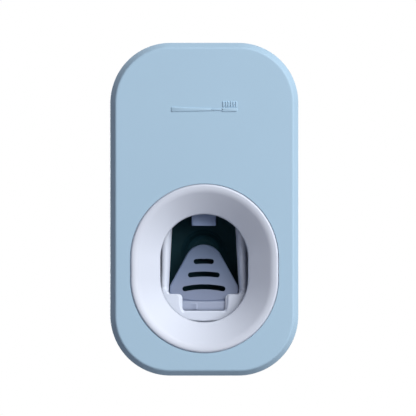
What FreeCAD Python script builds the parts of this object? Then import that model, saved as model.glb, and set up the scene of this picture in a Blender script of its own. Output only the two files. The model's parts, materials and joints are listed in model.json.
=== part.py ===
import FreeCAD, Part
import math
import os

from FreeCAD import Vector

# Wall toothpaste dispenser, in millimetres.
# X runs left to right, Y from the front into the wall, Z up.
# The origin is the middle of the adhesive face on the wall.

# Whole object
body_width = 70.0
body_height = 124.0
body_corner_radius = 22.3
overall_depth = 44.0  # wall to the crest of the bezel

# Clearances
fit_gap = 0.3  # between separate mouldings
slip_gap = 0.05  # between a plug and its socket
running_gap = 0.06  # between a pin and its bore
overrun = 1.0  # how far a cut runs past the face that it opens

# Adhesive pad and wall plate
pad_thickness = 1.0
pad_inset = 2.0  # the pad stays this far inside the plate's edge
plate_width = 42.0
plate_height = 64.0
plate_corner_radius = 8.0
plate_thickness = 2.0
rail_length = 40.0
rail_depth = 3.0
rail_root_width = 24.0
rail_front_width = 30.0

# Rear chassis
chassis_back = 2.2
chassis_wall = 1.8
chassis_depth = 10.7
groove_wall = 3.0
groove_floor = 1.7
shelf_thickness = 2.4
shelf_lip = 2.0  # shelf left in front of the feed pipe's cup
gusset_thickness = 1.6
gusset_height = 14.0
post_radius = 3.4

# Front cover
cover_wall = 2.0
cover_face = 2.2
cover_bevel = 1.85
cover_bevel_depth = 3.1
cover_bevel_round = 1.0
stop_rib_width = 1.2
stop_rib_length = 40.0
stake_radius = 1.2
stake_head_radius = 2.2
stake_head_thickness = 0.9

# Bezel ring and the bay that it frames
bezel_proud = 0.35
bezel_side_margin = 7.3  # cover left beside the ring
bezel_bottom_margin = 8.4  # cover left below the ring
bezel_crest_width = 2.4
bezel_crest_round = 0.5
bezel_throat_round = 1.2
bezel_wall = 1.8
bezel_lip_round = 0.5
bezel_flange_width = 2.0
bezel_flange_thickness = 1.6
bezel_ear_radius = 3.2
bezel_ear_offset = 3.8  # from the ring's edge to the stake
bay_radius = 15.95
funnel_depth = 10.3
bay_straight = 7.7

# Brush cradle
cradle_gap = 1.0  # between the bezel's tail and the cradle
cradle_inset = 0.45  # the rails' outer sides stay inside the bay's edge
rail_foot_width = 2.6
rail_head_width = 3.7
apron_thickness = 2.4
apron_overlap = 2.2  # apron hidden below the bay's edge
apron_corner_radius = 5.0
apron_inset = 0.4  # the apron's front stays inside the bay's edge
apron_step = 1.8  # depth of the front that follows the bay's edge
lug_top_drop = 9.6
lug_round = 1.6
lug_width = 4.85  # each side of the notch
notch_floor_drop = 15.9
notch_round = 1.2
window_round = 0.8
cradle_edge_round = 0.9
rail_setback = 2.4  # the rails' ridges lie behind the lugs
rail_ridge_inset = 1.5  # from the rails' outer sides to their ridges
rail_slant = 1.7  # how far the rails fall back from the ridge to the window
clamp_width = 2.3
window_over = 0.9  # window's edge above the bay's edge
flange_thickness = 2.4
ear_radius = 3.6
ear_offset = 5.4
ear_low_rise = 2.6
ear_high_drop = 2.2

# Push paddle and its pin
apex_rise = 8.8
apex_radius = 7.3
shoulder_drop = 6.35
shoulder_round = 1.0
crease_drop = 12.25
foot_height = 2.3
foot_depth = 2.6
foot_gap = 0.6
foot_rear_round = 1.6
crease_sag = 0.67  # how far the crease dips in the middle of the notch
paddle_side_gap = 0.4
paddle_thickness = 2.0
slot_height = 1.9
slot_lengths = (7.6, 11.9, 16.1)
slot_drops = (6.1, 11.2, 16.05)  # below the paddle's tip
slot_arches = (0.12, 0.35, 0.75)
nub_radius = 2.2
nub_gap = 0.3
nub_root_angle = 30.0  # degrees of the ball sunk into the plate
pin_radius = 1.25

# Pump
membrane_thickness = 1.2
membrane_corner_radius = 2.0
bellows_height = 3.25
bellows_radius = 8.5
bellows_step = 1.0
bellows_round = 1.2
pad_radius = 4.6
pad_below_tip = 2.75
chamber_radius = 9.0
chamber_floor = 1.6
pump_depth = 4.8
pump_corner_radius = 2.0
head_wall = 1.6
head_relief = 3.0
gallery_radius = 3.2
gallery_height = 4.0
passage_radius = 1.9
channel_width = 4.0
channel_depth = 2.2
channel_dip = 1.5  # how far the channel dips into the chamber
gallery_cover_thickness = 1.0
gallery_cover_rim = 1.4

# Plunger and its conical spring
plunger_radius = 3.8
plunger_thickness = 1.6
plunger_stem_radius = 1.8
plunger_stem_length = 0.5
spring_wire = 0.7
spring_small_radius = 2.6
spring_large_radius = 5.4
spring_turns = 3

# Nozzle and its duckbill
nozzle_setback = 2.1  # between the nozzle and the cradle's flange
nozzle_show = 3.95  # nozzle seen below the bay's edge
nozzle_width = 9.2
nozzle_depth = 7.0
nozzle_corner_radius = 0.6
nozzle_bore = 1.7
nozzle_plug_radius = 3.6
nozzle_plug_length = 4.0
nozzle_ring_wire = 0.55
duckbill_pocket_radius = 2.7
duckbill_pocket_depth = 4.6
duckbill_flange_thickness = 1.0
duckbill_radius = 2.0
duckbill_wall = 0.6
duckbill_lip = 0.9
duckbill_slit = 0.2
duckbill_recess = 0.4

# Feed pipe, inlet valve, tube socket and tube seal
valve_thickness = 1.0
flap_radius = 2.6
flap_slit = 0.3
flap_arc = 290.0  # degrees of slit round the flap
feed_plug_radius = 6.0
feed_plug_length = 6.0
feed_orifice = 2.2
feed_orifice_length = 1.6
feed_bore = 3.4
feed_wall = 1.6
feed_collar_width = 1.4
feed_collar_height = 2.0
feed_cone_height = 4.5
feed_ring_wire = 0.75
tube_neck_radius = 6.0
seal_wall = 1.6
seal_depth = 13.0
seal_lip_width = 1.5
seal_lip_thickness = 0.6
seal_lead_in = 0.6
socket_wall = 1.6
socket_floor = 2.0
socket_flange_width = 2.6
socket_flange_thickness = 1.5
socket_flange_corner = 4.0
cup_wall = 1.6

# Screws that clamp the cradle to the chassis
screw_radius = 1.3
screw_length = 9.0
screw_head_radius = 2.6
screw_head_height = 1.8
screw_recess_width = 0.6
screw_recess_length = 2.8
screw_recess_depth = 0.9
screw_tip_gap = 0.5

# Depth stations, from the wall to the front
pad_front = -pad_thickness
plate_front = pad_front - plate_thickness
rail_front = plate_front - rail_depth
chassis_rear = plate_front - fit_gap
chassis_inner = chassis_rear - chassis_back
groove_bottom = rail_front - fit_gap
groove_block_front = groove_bottom - groove_floor
chassis_edge = chassis_rear - chassis_depth
pump_rear = groove_block_front
pump_front = pump_rear - pump_depth
membrane_front = pump_front - membrane_thickness
bellows_front = membrane_front - bellows_height
cradle_rear = membrane_front
flange_front = cradle_rear - flange_thickness
bezel_crest = -overall_depth
cover_front = bezel_crest + bezel_proud
cover_inner = cover_front + cover_face
bezel_tail = bezel_crest + funnel_depth
cradle_front = bezel_tail + cradle_gap
apron_back = cradle_front + apron_thickness
foot_front = apron_back + foot_gap
hinge_y = foot_front + foot_depth
paste_y = flange_front - nozzle_setback - nozzle_depth / 2
socket_y = (chassis_inner + cover_inner) / 2

# Heights
bezel_radius = body_width / 2 - bezel_side_margin
bay_z = -body_height / 2 + bezel_bottom_margin + bezel_radius + bay_straight / 2
bay_top = bay_z + bay_radius + bay_straight / 2
bay_bottom = bay_z - bay_radius - bay_straight / 2
tip_z = bay_z + apex_rise
crease_z = bay_z - crease_drop
hinge_z = crease_z - foot_height
bellows_z = tip_z - pad_below_tip
window_top = bay_top + window_over
window_bottom = hinge_z
cradle_top = window_top + clamp_width
membrane_bottom = window_bottom - clamp_width
cradle_bottom = bay_bottom - apron_overlap
cradle_floor_top = hinge_z - foot_depth - foot_gap
head_bottom = cradle_top + fit_gap
gallery_bottom = head_bottom + nozzle_plug_length
valve_seat = gallery_bottom + gallery_height
feed_bottom = valve_seat + valve_thickness
head_top = feed_bottom + feed_plug_length
nozzle_bottom = bay_top - nozzle_show
shelf_top = body_height / 2 - cover_wall - fit_gap
shelf_bottom = shelf_top - shelf_thickness
socket_top = shelf_top + socket_flange_thickness
seal_bottom = socket_top - seal_depth
socket_bottom = seal_bottom - socket_floor
cup_floor = socket_bottom - slip_gap

# Radii and half widths that follow from the pieces that fit together
seal_radius = tube_neck_radius + seal_wall
socket_bore = seal_radius + slip_gap
socket_radius = socket_bore + socket_wall
socket_flange_half = socket_radius + socket_flange_width
cup_bore = socket_radius + slip_gap
cup_radius = cup_bore + cup_wall
feed_radius = feed_bore + feed_wall
head_half = feed_plug_radius + slip_gap + head_wall
cradle_half = bay_radius - cradle_inset
rail_gap_foot = cradle_half - rail_foot_width
rail_gap_head = cradle_half - rail_head_width
notch_half = rail_gap_foot - lug_width
paddle_half = rail_gap_foot - paddle_side_gap
ear_x = cradle_half + ear_offset
ear_low_z = hinge_z + ear_low_rise
ear_high_z = bay_top - ear_high_drop
chassis_width = body_width - 2 * (cover_wall + fit_gap)
chassis_height = body_height - 2 * (cover_wall + fit_gap)
chassis_radius = body_corner_radius - cover_wall - fit_gap
nub_y = bellows_front - nub_gap - nub_radius


def box(x_low, x_high, y_low, y_high, z_low, z_high):
    corner = Vector(x_low, y_low, z_low)
    return Part.makeBox(x_high - x_low, y_high - y_low, z_high - z_low, corner)


def pin_x(radius, x_low, x_high, y, z):
    return Part.makeCylinder(radius, x_high - x_low, Vector(x_low, y, z), Vector(1, 0, 0))


def pin_y(radius, y_low, y_high, x, z):
    return Part.makeCylinder(radius, y_high - y_low, Vector(x, y_low, z), Vector(0, 1, 0))


def pin_z(radius, z_low, z_high, x, y):
    return Part.makeCylinder(radius, z_high - z_low, Vector(x, y, z_low), Vector(0, 0, 1))


def rounded_face(corners, radii):
    # A closed outline through the corners, each rounded by its own radius
    edges = []
    joints = []
    for i, corner in enumerate(corners):
        back = (corners[i - 1] - corner).normalize()
        on = (corners[(i + 1) % len(corners)] - corner).normalize()
        radius = radii[i]
        if radius == 0:
            joints.append((corner, None, corner))
            continue
        half = back.getAngle(on) / 2
        reach = radius / math.tan(half)
        inward = (back + on).normalize()
        middle = corner + inward * (radius / math.sin(half) - radius)
        joints.append((corner + back * reach, middle, corner + on * reach))
    for i, (start, middle, end) in enumerate(joints):
        before = joints[i - 1][2]
        if before.distanceToPoint(start) > slip_gap / 1000:
            edges.append(Part.LineSegment(before, start).toShape())
        if middle is not None:
            edges.append(Part.Arc(start, middle, end).toShape())
    return Part.Face(Part.Wire(edges))


def front_prism(points, y_front, y_rear, radii=None):
    # points are (x, z), carried along Y
    corners = [Vector(x, y_front, z) for x, z in points]
    face = rounded_face(corners, radii or [0] * len(points))
    return face.extrude(Vector(0, y_rear - y_front, 0))


def side_prism(points, x_low, x_high, radii=None):
    # points are (y, z), carried along X
    corners = [Vector(x_low, y, z) for y, z in points]
    face = rounded_face(corners, radii or [0] * len(points))
    return face.extrude(Vector(x_high - x_low, 0, 0))


def plan_prism(points, z_low, z_high, radii=None):
    # points are (x, y), carried along Z
    corners = [Vector(x, y, z_low) for x, y in points]
    face = rounded_face(corners, radii or [0] * len(points))
    return face.extrude(Vector(0, 0, z_high - z_low))


def turned_upright(points, y):
    # points are (radius, z), turned about an upright axis
    corners = [Vector(r, y, z) for r, z in points]
    face = rounded_face(corners, [0] * len(points))
    return face.revolve(Vector(0, y, 0), Vector(0, 0, 1), 360)


def turned_level(points, z, radii=None):
    # points are (radius, y), turned about a level axis into the wall
    corners = [Vector(r, y, z) for r, y in points]
    face = rounded_face(corners, radii or [0] * len(points))
    return face.revolve(Vector(0, 0, z), Vector(0, 1, 0), 360)


def plate(width, height, radius, y_front, y_rear, z=0.0):
    half = width / 2
    low = z - height / 2
    high = z + height / 2
    corners = [(-half, low), (half, low), (half, high), (-half, high)]
    return front_prism(corners, y_front, y_rear, [radius] * 4)


def obround(radius, y_front, y_rear):
    return plate(2 * radius, 2 * radius + bay_straight, radius, y_front, y_rear, bay_z)


def round_the_bay(points, radii):
    # points are (distance from the bay's straight core, y), carried once round the bay
    half = bay_straight / 2
    pieces = []
    for end, turn in ((half, -180), (-half, 180)):
        corners = [Vector(r, y, bay_z + end) for r, y in points]
        face = rounded_face(corners, radii)
        pieces.append(face.revolve(Vector(0, 0, bay_z + end), Vector(0, 1, 0), turn))
    for side in (1, -1):
        corners = [Vector(side * r, y, bay_z - half) for r, y in points]
        face = rounded_face(corners, radii)
        pieces.append(face.extrude(Vector(0, 0, bay_straight)))
    return joined(pieces)


def joined(pieces):
    return pieces[0].fuse(pieces[1:]).removeSplitter()


def edges_at_depth(shape, y):
    return [edge for edge in shape.Edges if all(abs(v.Y - y) < slip_gap / 10 for v in edge.Vertexes)]


def ear_places():
    return [(side * ear_x, z) for side in (-1, 1) for z in (ear_low_z, ear_high_z)]


def stake_places():
    reach = (bezel_radius + bezel_ear_offset) * math.sqrt(0.5)
    rise = reach + bay_straight / 2
    return [(side * reach, bay_z + up * rise) for side in (-1, 1) for up in (-1, 1)]


def make_adhesive_pad():
    width = plate_width - 2 * pad_inset
    height = plate_height - 2 * pad_inset
    return plate(width, height, plate_corner_radius - pad_inset, pad_front, 0.0)


def rail_outline(gap):
    # The dovetail widens away from the wall
    root = rail_root_width / 2 + gap
    front = rail_front_width / 2 + gap
    return [(-root, plate_front), (root, plate_front), (front, rail_front), (-front, rail_front)]


def make_wall_plate():
    base = plate(plate_width, plate_height, plate_corner_radius, plate_front, pad_front)
    rail = plan_prism(rail_outline(0.0), -rail_length / 2, rail_length / 2)
    return joined([base, rail])


def rail_groove():
    # Open at the bottom, with its end resting on the rail's top
    points = rail_outline(fit_gap)
    spread = (rail_front_width - rail_root_width) / 2 * fit_gap / rail_depth
    deep = rail_front_width / 2 + fit_gap + spread
    points[2:] = [(deep, groove_bottom), (-deep, groove_bottom)]
    return plan_prism(points, -body_height / 2 - overrun, rail_length / 2)


def make_rear_chassis():
    outer = plate(chassis_width, chassis_height, chassis_radius, chassis_edge, chassis_rear)
    hollow = plate(
        chassis_width - 2 * chassis_wall,
        chassis_height - 2 * chassis_wall,
        chassis_radius - chassis_wall,
        chassis_edge - overrun,
        chassis_inner,
    )
    shape = outer.cut(hollow)
    block_half = rail_front_width / 2 + fit_gap + groove_wall
    block_top = rail_length / 2 + groove_wall
    block = box(-block_half, block_half, groove_block_front, chassis_inner, -chassis_height / 2, block_top)
    shelf_half = cup_radius + fit_gap + gusset_thickness + shelf_lip / 2
    shelf_front = socket_y - cup_radius - shelf_lip
    shelf = box(-shelf_half, shelf_half, shelf_front, chassis_inner, shelf_bottom, shelf_top)
    pieces = [shape, block, shelf]
    for side in (-1, 1):
        near = side * (cup_radius + fit_gap)
        far = near + side * gusset_thickness
        brace = [
            (chassis_inner, shelf_bottom),
            (shelf_front + shelf_lip, shelf_bottom),
            (chassis_inner, shelf_bottom - gusset_height),
        ]
        pieces.append(side_prism(brace, min(near, far), max(near, far)))
    for x, z in ear_places():
        pieces.append(pin_y(post_radius, cradle_rear, chassis_inner, x, z))
    outline = plate(chassis_width, chassis_height, chassis_radius, cover_front, chassis_rear)
    shape = joined(pieces).common(outline)
    shape = shape.cut(rail_groove())
    fork_half = socket_radius + fit_gap
    fork_front = shelf_front - overrun
    fork_rear = socket_y + fork_half
    fork_low = shelf_bottom - overrun
    shape = shape.cut(box(-fork_half, fork_half, fork_front, fork_rear, fork_low, shelf_top + overrun))
    for x, z in ear_places():
        tip = flange_front + screw_length + screw_tip_gap
        shape = shape.cut(pin_y(screw_radius + slip_gap, cradle_rear - overrun, tip, x, z))
    return shape.removeSplitter()


def socket_plate(gap, y_rear, z_low, z_high):
    # The socket's flange, or with a gap the slot in the cover's top that it lies in
    half = socket_flange_half + gap
    front = socket_y - half
    round_front = socket_flange_corner + gap
    points = [(-half, front), (half, front), (half, y_rear), (-half, y_rear)]
    return plan_prism(points, z_low, z_high, [round_front, round_front, 0, 0])


def make_front_cover():
    outer = plate(body_width, body_height, body_corner_radius, cover_front, chassis_rear)
    outer = outer.makeChamfer(cover_bevel_depth, cover_bevel, edges_at_depth(outer, cover_front))
    bevel_edges = edges_at_depth(outer, cover_front)
    bevel_edges += edges_at_depth(outer, cover_front + cover_bevel_depth)
    outer = outer.makeFillet(cover_bevel_round, bevel_edges)
    hollow = plate(
        body_width - 2 * cover_wall,
        body_height - 2 * cover_wall,
        body_corner_radius - cover_wall,
        cover_inner,
        chassis_rear + overrun,
    )
    shape = outer.cut(hollow)
    shape = shape.cut(obround(bezel_radius + slip_gap, cover_front - overrun, cover_inner + overrun))
    slot_base = body_height / 2 - cover_wall - overrun
    slot_top = body_height / 2 + overrun
    shape = shape.cut(socket_plate(fit_gap, chassis_rear + overrun, slot_base, slot_top))
    shape = shape.cut(rail_groove())
    pieces = [shape]
    for side in (-1, 1):
        wall = side * (body_width / 2 - cover_wall)
        tip = wall - side * stop_rib_width
        low = -stop_rib_length / 2
        pieces.append(box(min(wall, tip), max(wall, tip), cover_inner, chassis_edge, low, -low))
    for x, z in stake_places():
        head = cover_inner + bezel_flange_thickness
        pieces.append(pin_y(stake_radius, cover_inner, head + stake_head_thickness, x, z))
        pieces.append(pin_y(stake_head_radius, head, head + stake_head_thickness, x, z))
    return joined(pieces)


def make_bezel_ring():
    throat = bezel_radius - bezel_crest_width
    flange_rear = cover_inner + bezel_flange_thickness
    flare = (throat - bay_radius) / funnel_depth
    tail_outer = bay_radius + bezel_wall
    back = tail_outer + (bezel_tail - flange_rear) * flare
    flange = bezel_radius + bezel_flange_width
    points = [
        (bezel_radius, cover_inner),
        (bezel_radius, bezel_crest),
        (throat, bezel_crest),
        (bay_radius, bezel_tail),
        (tail_outer, bezel_tail),
        (back, flange_rear),
        (flange, flange_rear),
        (flange, cover_inner),
    ]
    radii = [0, bezel_crest_round, bezel_throat_round, bezel_lip_round, bezel_lip_round, 0, 0, 0]
    pieces = [round_the_bay(points, radii)]
    for x, z in stake_places():
        pieces.append(pin_y(bezel_ear_radius, cover_inner, flange_rear, x, z))
    shape = joined(pieces)
    for x, z in stake_places():
        hole = pin_y(stake_radius + slip_gap, cover_inner - overrun, flange_rear + overrun, x, z)
        shape = shape.cut(hole)
    return shape


def make_brush_cradle():
    low = cradle_bottom
    lug_top = bay_z - lug_top_drop
    notch_floor = bay_z - notch_floor_drop
    above = cradle_top + overrun
    half = cradle_half
    body_points = [(-half, low), (half, low), (half, cradle_top), (-half, cradle_top)]
    corner = apron_corner_radius
    shape = front_prism(body_points, cradle_front, cradle_rear, [corner, corner, 0, 0])
    taper = (rail_gap_foot - rail_gap_head) / (cradle_top - lug_top)
    gap_above = rail_gap_head - taper * overrun
    window = [
        (-gap_above, above),
        (-rail_gap_foot, lug_top),
        (-notch_half, lug_top),
        (-notch_half, notch_floor),
        (notch_half, notch_floor),
        (notch_half, lug_top),
        (rail_gap_foot, lug_top),
        (gap_above, above),
    ]
    rounds = [window_round, lug_round, notch_round]
    window_radii = [0] + rounds + rounds[::-1] + [0]
    shape = shape.cut(front_prism(window, cradle_front - overrun, apron_back, window_radii))
    rim = edges_at_depth(shape, cradle_front)
    inner_rim = [edge for edge in rim if edge.BoundBox.ZMin > low + apron_overlap]
    inner_rim = [edge for edge in inner_rim if abs(edge.CenterOfMass.x) < cradle_half - cradle_edge_round]
    inner_rim = [edge for edge in inner_rim if edge.CenterOfMass.z < cradle_top - cradle_edge_round]
    shape = shape.makeFillet(cradle_edge_round, inner_rim)
    ridge = half - rail_ridge_inset
    ridge_front = cradle_front + rail_setback
    fall = rail_slant / (ridge - rail_gap_head)
    inner = rail_gap_head - overrun
    outer = half + overrun
    for side in (-1, 1):
        slant = [
            (side * outer, cradle_front - overrun),
            (side * inner, cradle_front - overrun),
            (side * inner, ridge_front + (ridge - inner) * fall),
            (side * ridge, ridge_front),
            (side * outer, ridge_front + (outer - ridge) * fall),
        ]
        shape = shape.cut(plan_prism(slant, lug_top, above))
    centre = bay_z - bay_straight / 2
    front = cradle_front - overrun
    step = cradle_front + apron_step
    rim_below = box(-half - overrun, half + overrun, front, step, low - overrun, centre)
    rim_below = rim_below.cut(pin_y(bay_radius - apron_inset, front, step, 0, centre))
    shape = shape.cut(rim_below)
    bay = [
        (-gap_above, above),
        (-rail_gap_foot, lug_top),
        (-rail_gap_foot, cradle_floor_top),
        (rail_gap_foot, cradle_floor_top),
        (rail_gap_foot, lug_top),
        (gap_above, above),
    ]
    shape = shape.cut(front_prism(bay, apron_back, flange_front))
    before = flange_front - overrun
    behind = cradle_rear + overrun
    shape = shape.cut(box(-rail_gap_foot, rail_gap_foot, before, behind, window_bottom, window_top))
    pieces = [shape]
    for x, z in ear_places():
        near = math.copysign(cradle_half, x)
        web = box(min(near, x), max(near, x), flange_front, cradle_rear, z - ear_radius, z + ear_radius)
        pieces.append(web)
        pieces.append(pin_y(ear_radius, flange_front, cradle_rear, x, z))
    shape = joined(pieces)
    for x, z in ear_places():
        shape = shape.cut(pin_y(screw_radius + fit_gap, flange_front - overrun, cradle_rear + overrun, x, z))
    hole = pin_x(pin_radius + slip_gap / 2, -cradle_half - overrun, cradle_half + overrun, hinge_y, hinge_z)
    return shape.cut(hole)


def paddle_slope():
    # The plate's front runs from the crease, and its back carries the nub's centre
    run = nub_y - foot_front
    rise = bellows_z - crease_z
    return math.acos(paddle_thickness / math.hypot(run, rise)) - math.atan2(rise, run)


def arched_slot(z, length, arch):
    # A slot with round ends along an arc that rises by arch in the middle
    half = (length - slot_height) / 2
    sweep_radius = (half**2 + arch**2) / (2 * arch)
    turn = math.asin(half / sweep_radius)
    centre = z - sweep_radius
    outer = sweep_radius + slot_height / 2
    inner = sweep_radius - slot_height / 2

    def at(radius, angle):
        return Vector(radius * math.sin(angle), cradle_front, centre + radius * math.cos(angle))

    def tip(side):
        along = Vector(side * math.cos(turn), 0, -math.sin(turn))
        return at(sweep_radius, side * turn) + along * (slot_height / 2)

    edges = [
        Part.Arc(at(outer, -turn), at(outer, 0), at(outer, turn)).toShape(),
        Part.Arc(at(outer, turn), tip(1), at(inner, turn)).toShape(),
        Part.Arc(at(inner, turn), at(inner, 0), at(inner, -turn)).toShape(),
        Part.Arc(at(inner, -turn), tip(-1), at(outer, -turn)).toShape(),
    ]
    return Part.Face(Part.Wire(edges)).extrude(Vector(0, cradle_rear - cradle_front, 0))


def make_push_paddle():
    slope = paddle_slope()
    shoulder_z = bay_z - shoulder_drop
    centre_z = tip_z - apex_radius
    reach = math.hypot(paddle_half, centre_z - shoulder_z)
    lean = math.atan2(paddle_half, centre_z - shoulder_z) - math.asin(apex_radius / reach)
    peak = shoulder_z + paddle_half / math.tan(lean)
    foot_bottom = hinge_z - foot_depth
    outline = [
        (-paddle_half, foot_bottom - overrun),
        (paddle_half, foot_bottom - overrun),
        (paddle_half, shoulder_z),
        (0, peak),
        (-paddle_half, shoulder_z),
    ]
    outline_radii = [0, 0, shoulder_round, apex_radius, shoulder_round]
    face_on = front_prism(outline, bezel_crest, cradle_rear, outline_radii)

    def front_at(z):
        return foot_front + (z - crease_z) * math.tan(slope)

    def back_at(z):
        return front_at(z) + paddle_thickness / math.cos(slope)

    foot_rear = hinge_y + foot_depth
    foot_top = hinge_z + foot_depth
    above = tip_z + overrun
    profile = [
        (front_at(above), above),
        (front_at(foot_bottom), foot_bottom),
        (foot_rear, foot_bottom),
        (foot_rear, foot_top),
        (back_at(foot_top), foot_top),
        (back_at(above), above),
    ]
    profile_radii = [0, foot_depth, foot_depth, foot_rear_round, 0, 0]
    block = side_prism(profile, -paddle_half, paddle_half, profile_radii)
    nub_way = Vector(0, math.cos(slope), -math.sin(slope))
    nub = Part.makeSphere(nub_radius, Vector(0, nub_y, bellows_z), nub_way, -nub_root_angle, 90)
    shape = joined([block.common(face_on), nub])
    crown_radius = notch_half**2 / (2 * crease_sag * math.tan(slope))
    shape = shape.common(pin_z(crown_radius, cradle_bottom, cradle_top, 0, foot_front + crown_radius))
    for drop, length, arch in zip(slot_drops, slot_lengths, slot_arches):
        shape = shape.cut(arched_slot(tip_z - drop, length, arch))
    bore = pin_x(pin_radius + running_gap, -paddle_half - overrun, paddle_half + overrun, hinge_y, hinge_z)
    return shape.cut(bore)


def make_paddle_pin():
    return pin_x(pin_radius, -cradle_half, cradle_half, hinge_y, hinge_z)


def make_pump_membrane():
    height = cradle_top - membrane_bottom
    middle = (cradle_top + membrane_bottom) / 2
    width = 2 * cradle_half
    sheet = plate(width, height, membrane_corner_radius, membrane_front, pump_front, middle)
    sheet = sheet.cut(pin_y(bellows_radius, membrane_front - overrun, pump_front + overrun, 0, bellows_z))
    step = bellows_radius - bellows_step
    points = [
        (bellows_radius, membrane_front),
        (step, membrane_front),
        (pad_radius, bellows_front),
        (0, bellows_front),
        (0, bellows_front + membrane_thickness),
        (pad_radius - bellows_step / 2, bellows_front + membrane_thickness),
        (step - bellows_step / 2, pump_front),
        (bellows_radius, pump_front),
    ]
    radii = [0, bellows_round, bellows_round, 0, 0, bellows_round / 2, bellows_round / 2, 0]
    return joined([sheet, turned_level(points, bellows_z, radii)])


def make_plunger():
    front = bellows_front + membrane_thickness + slip_gap
    back = front + plunger_thickness
    disc = pin_y(plunger_radius, front, back, 0, bellows_z)
    stem = pin_y(plunger_stem_radius, back, back + plunger_stem_length, 0, bellows_z)
    return joined([disc, stem])


def biarc(start, start_way, end, end_way):
    # Two arcs that meet smoothly between two points with given directions
    chord = end - start
    ways = start_way + end_way
    spread = 2 * (1 - start_way.dot(end_way))
    along = chord.dot(ways)
    reach = (math.sqrt(along**2 + spread * chord.dot(chord)) - along) / spread
    first = start + start_way * reach
    second = end - end_way * reach
    meet = (first + second) * (1 / 2)
    edges = []
    for a, control, b in ((start, first, meet), (meet, second, end)):
        middle = (a + b) * (1 / 2)
        toward = control - middle
        half_chord = a.distanceToPoint(b) / 2
        quarter_turn = math.atan2(toward.Length, half_chord) / 2
        sagitta = half_chord * math.tan(quarter_turn)
        bulge = middle + toward.normalize() * sagitta
        edges.append(Part.Arc(a, bulge, b).toShape())
    return edges


def make_plunger_spring():
    seat = bellows_front + membrane_thickness + slip_gap + plunger_thickness
    start_y = seat + spring_wire / 2
    end_y = pump_rear - chamber_floor - spring_wire / 2
    growth = (spring_large_radius - spring_small_radius) / (2 * math.pi * spring_turns)
    climb = (end_y - start_y) / (2 * math.pi * spring_turns)

    def point(turn):
        radius = spring_small_radius + growth * turn
        return Vector(radius * math.cos(turn), start_y + climb * turn, bellows_z + radius * math.sin(turn))

    def way(turn):
        radius = spring_small_radius + growth * turn
        x = growth * math.cos(turn) - radius * math.sin(turn)
        z = growth * math.sin(turn) + radius * math.cos(turn)
        return Vector(x, climb, z).normalize()

    turns = [i * math.pi / 2 for i in range(4 * spring_turns + 1)]
    edges = []
    for here, there in zip(turns, turns[1:]):
        edges.extend(biarc(point(here), way(here), point(there), way(there)))
    path = Part.Wire(edges)
    section = Part.Wire(Part.makeCircle(spring_wire / 2, point(turns[0]), way(turns[0])))
    shape = Part.Solid(path.makePipeShell([section], True, False))
    samples = [i * math.pi / 18 for i in range(36 * spring_turns + 1)]
    far_apart = [(a, b) for a in samples for b in samples if b - a > math.pi]
    gap = min(point(a).distanceToPoint(point(b)) for a, b in far_apart) - spring_wire
    print("plunger_spring least gap to itself", round(gap, 3), "volume", round(shape.Volume, 3))
    print("plunger_spring section times length", round(path.Length * math.pi * spring_wire**2 / 4, 3))
    return shape


def channel_reach():
    low = bellows_z + chamber_radius - channel_dip
    high = valve_seat - gallery_height / 2 + passage_radius
    return low, high


def make_pump_body():
    height = cradle_top - membrane_bottom
    middle = (cradle_top + membrane_bottom) / 2
    panel = plate(2 * cradle_half, height, pump_corner_radius, pump_front, pump_rear, middle)
    head_front = paste_y - head_half
    head_points = [
        (head_front, head_top),
        (head_front, head_bottom + head_relief),
        (head_front + head_relief, head_bottom),
        (pump_rear, head_bottom),
        (pump_rear, head_top),
    ]
    head = side_prism(head_points, -head_half, head_half)
    neck = box(-head_half, head_half, pump_front, pump_rear, cradle_top - clamp_width, head_bottom)
    shape = joined([panel, head, neck])
    floor = pump_rear - chamber_floor
    shape = shape.cut(pin_y(chamber_radius, pump_front - overrun, floor, 0, bellows_z))
    shape = shape.cut(pin_z(gallery_radius, gallery_bottom, valve_seat, 0, paste_y))
    shape = shape.cut(pin_z(nozzle_plug_radius + slip_gap, head_bottom - overrun, gallery_bottom, 0, paste_y))
    shape = shape.cut(pin_z(feed_plug_radius + slip_gap, valve_seat, head_top + overrun, 0, paste_y))
    lid = pump_rear - gallery_cover_thickness
    low, high = channel_reach()
    half = channel_width / 2
    shape = shape.cut(box(-half, half, lid - channel_depth, lid, low, high))
    passage_z = valve_seat - gallery_height / 2
    shape = shape.cut(pin_y(passage_radius, paste_y, lid - channel_depth / 2, 0, passage_z))
    rim = gallery_cover_rim + slip_gap
    shape = shape.cut(box(-half - rim, half + rim, lid, pump_rear + overrun, low - rim, high + rim))
    return shape.removeSplitter()


def make_gallery_cover():
    low, high = channel_reach()
    half = channel_width / 2 + gallery_cover_rim
    lid = pump_rear - gallery_cover_thickness
    return box(-half, half, lid, pump_rear, low - gallery_cover_rim, high + gallery_cover_rim)


def seal_ring(outer_radius, wire, z):
    return Part.makeTorus(outer_radius - wire, wire, Vector(0, paste_y, z), Vector(0, 0, 1))


def ring_groove(outer_radius, wire, z):
    # A square groove that holds a round ring of this wire radius
    half = wire + slip_gap
    floor = outer_radius - 2 * wire - slip_gap
    run = outer_radius + slip_gap
    return turned_upright([(floor, z - half), (run, z - half), (run, z + half), (floor, z + half)], paste_y)


def nozzle_ring_z():
    return head_bottom + nozzle_plug_length / 2


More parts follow.
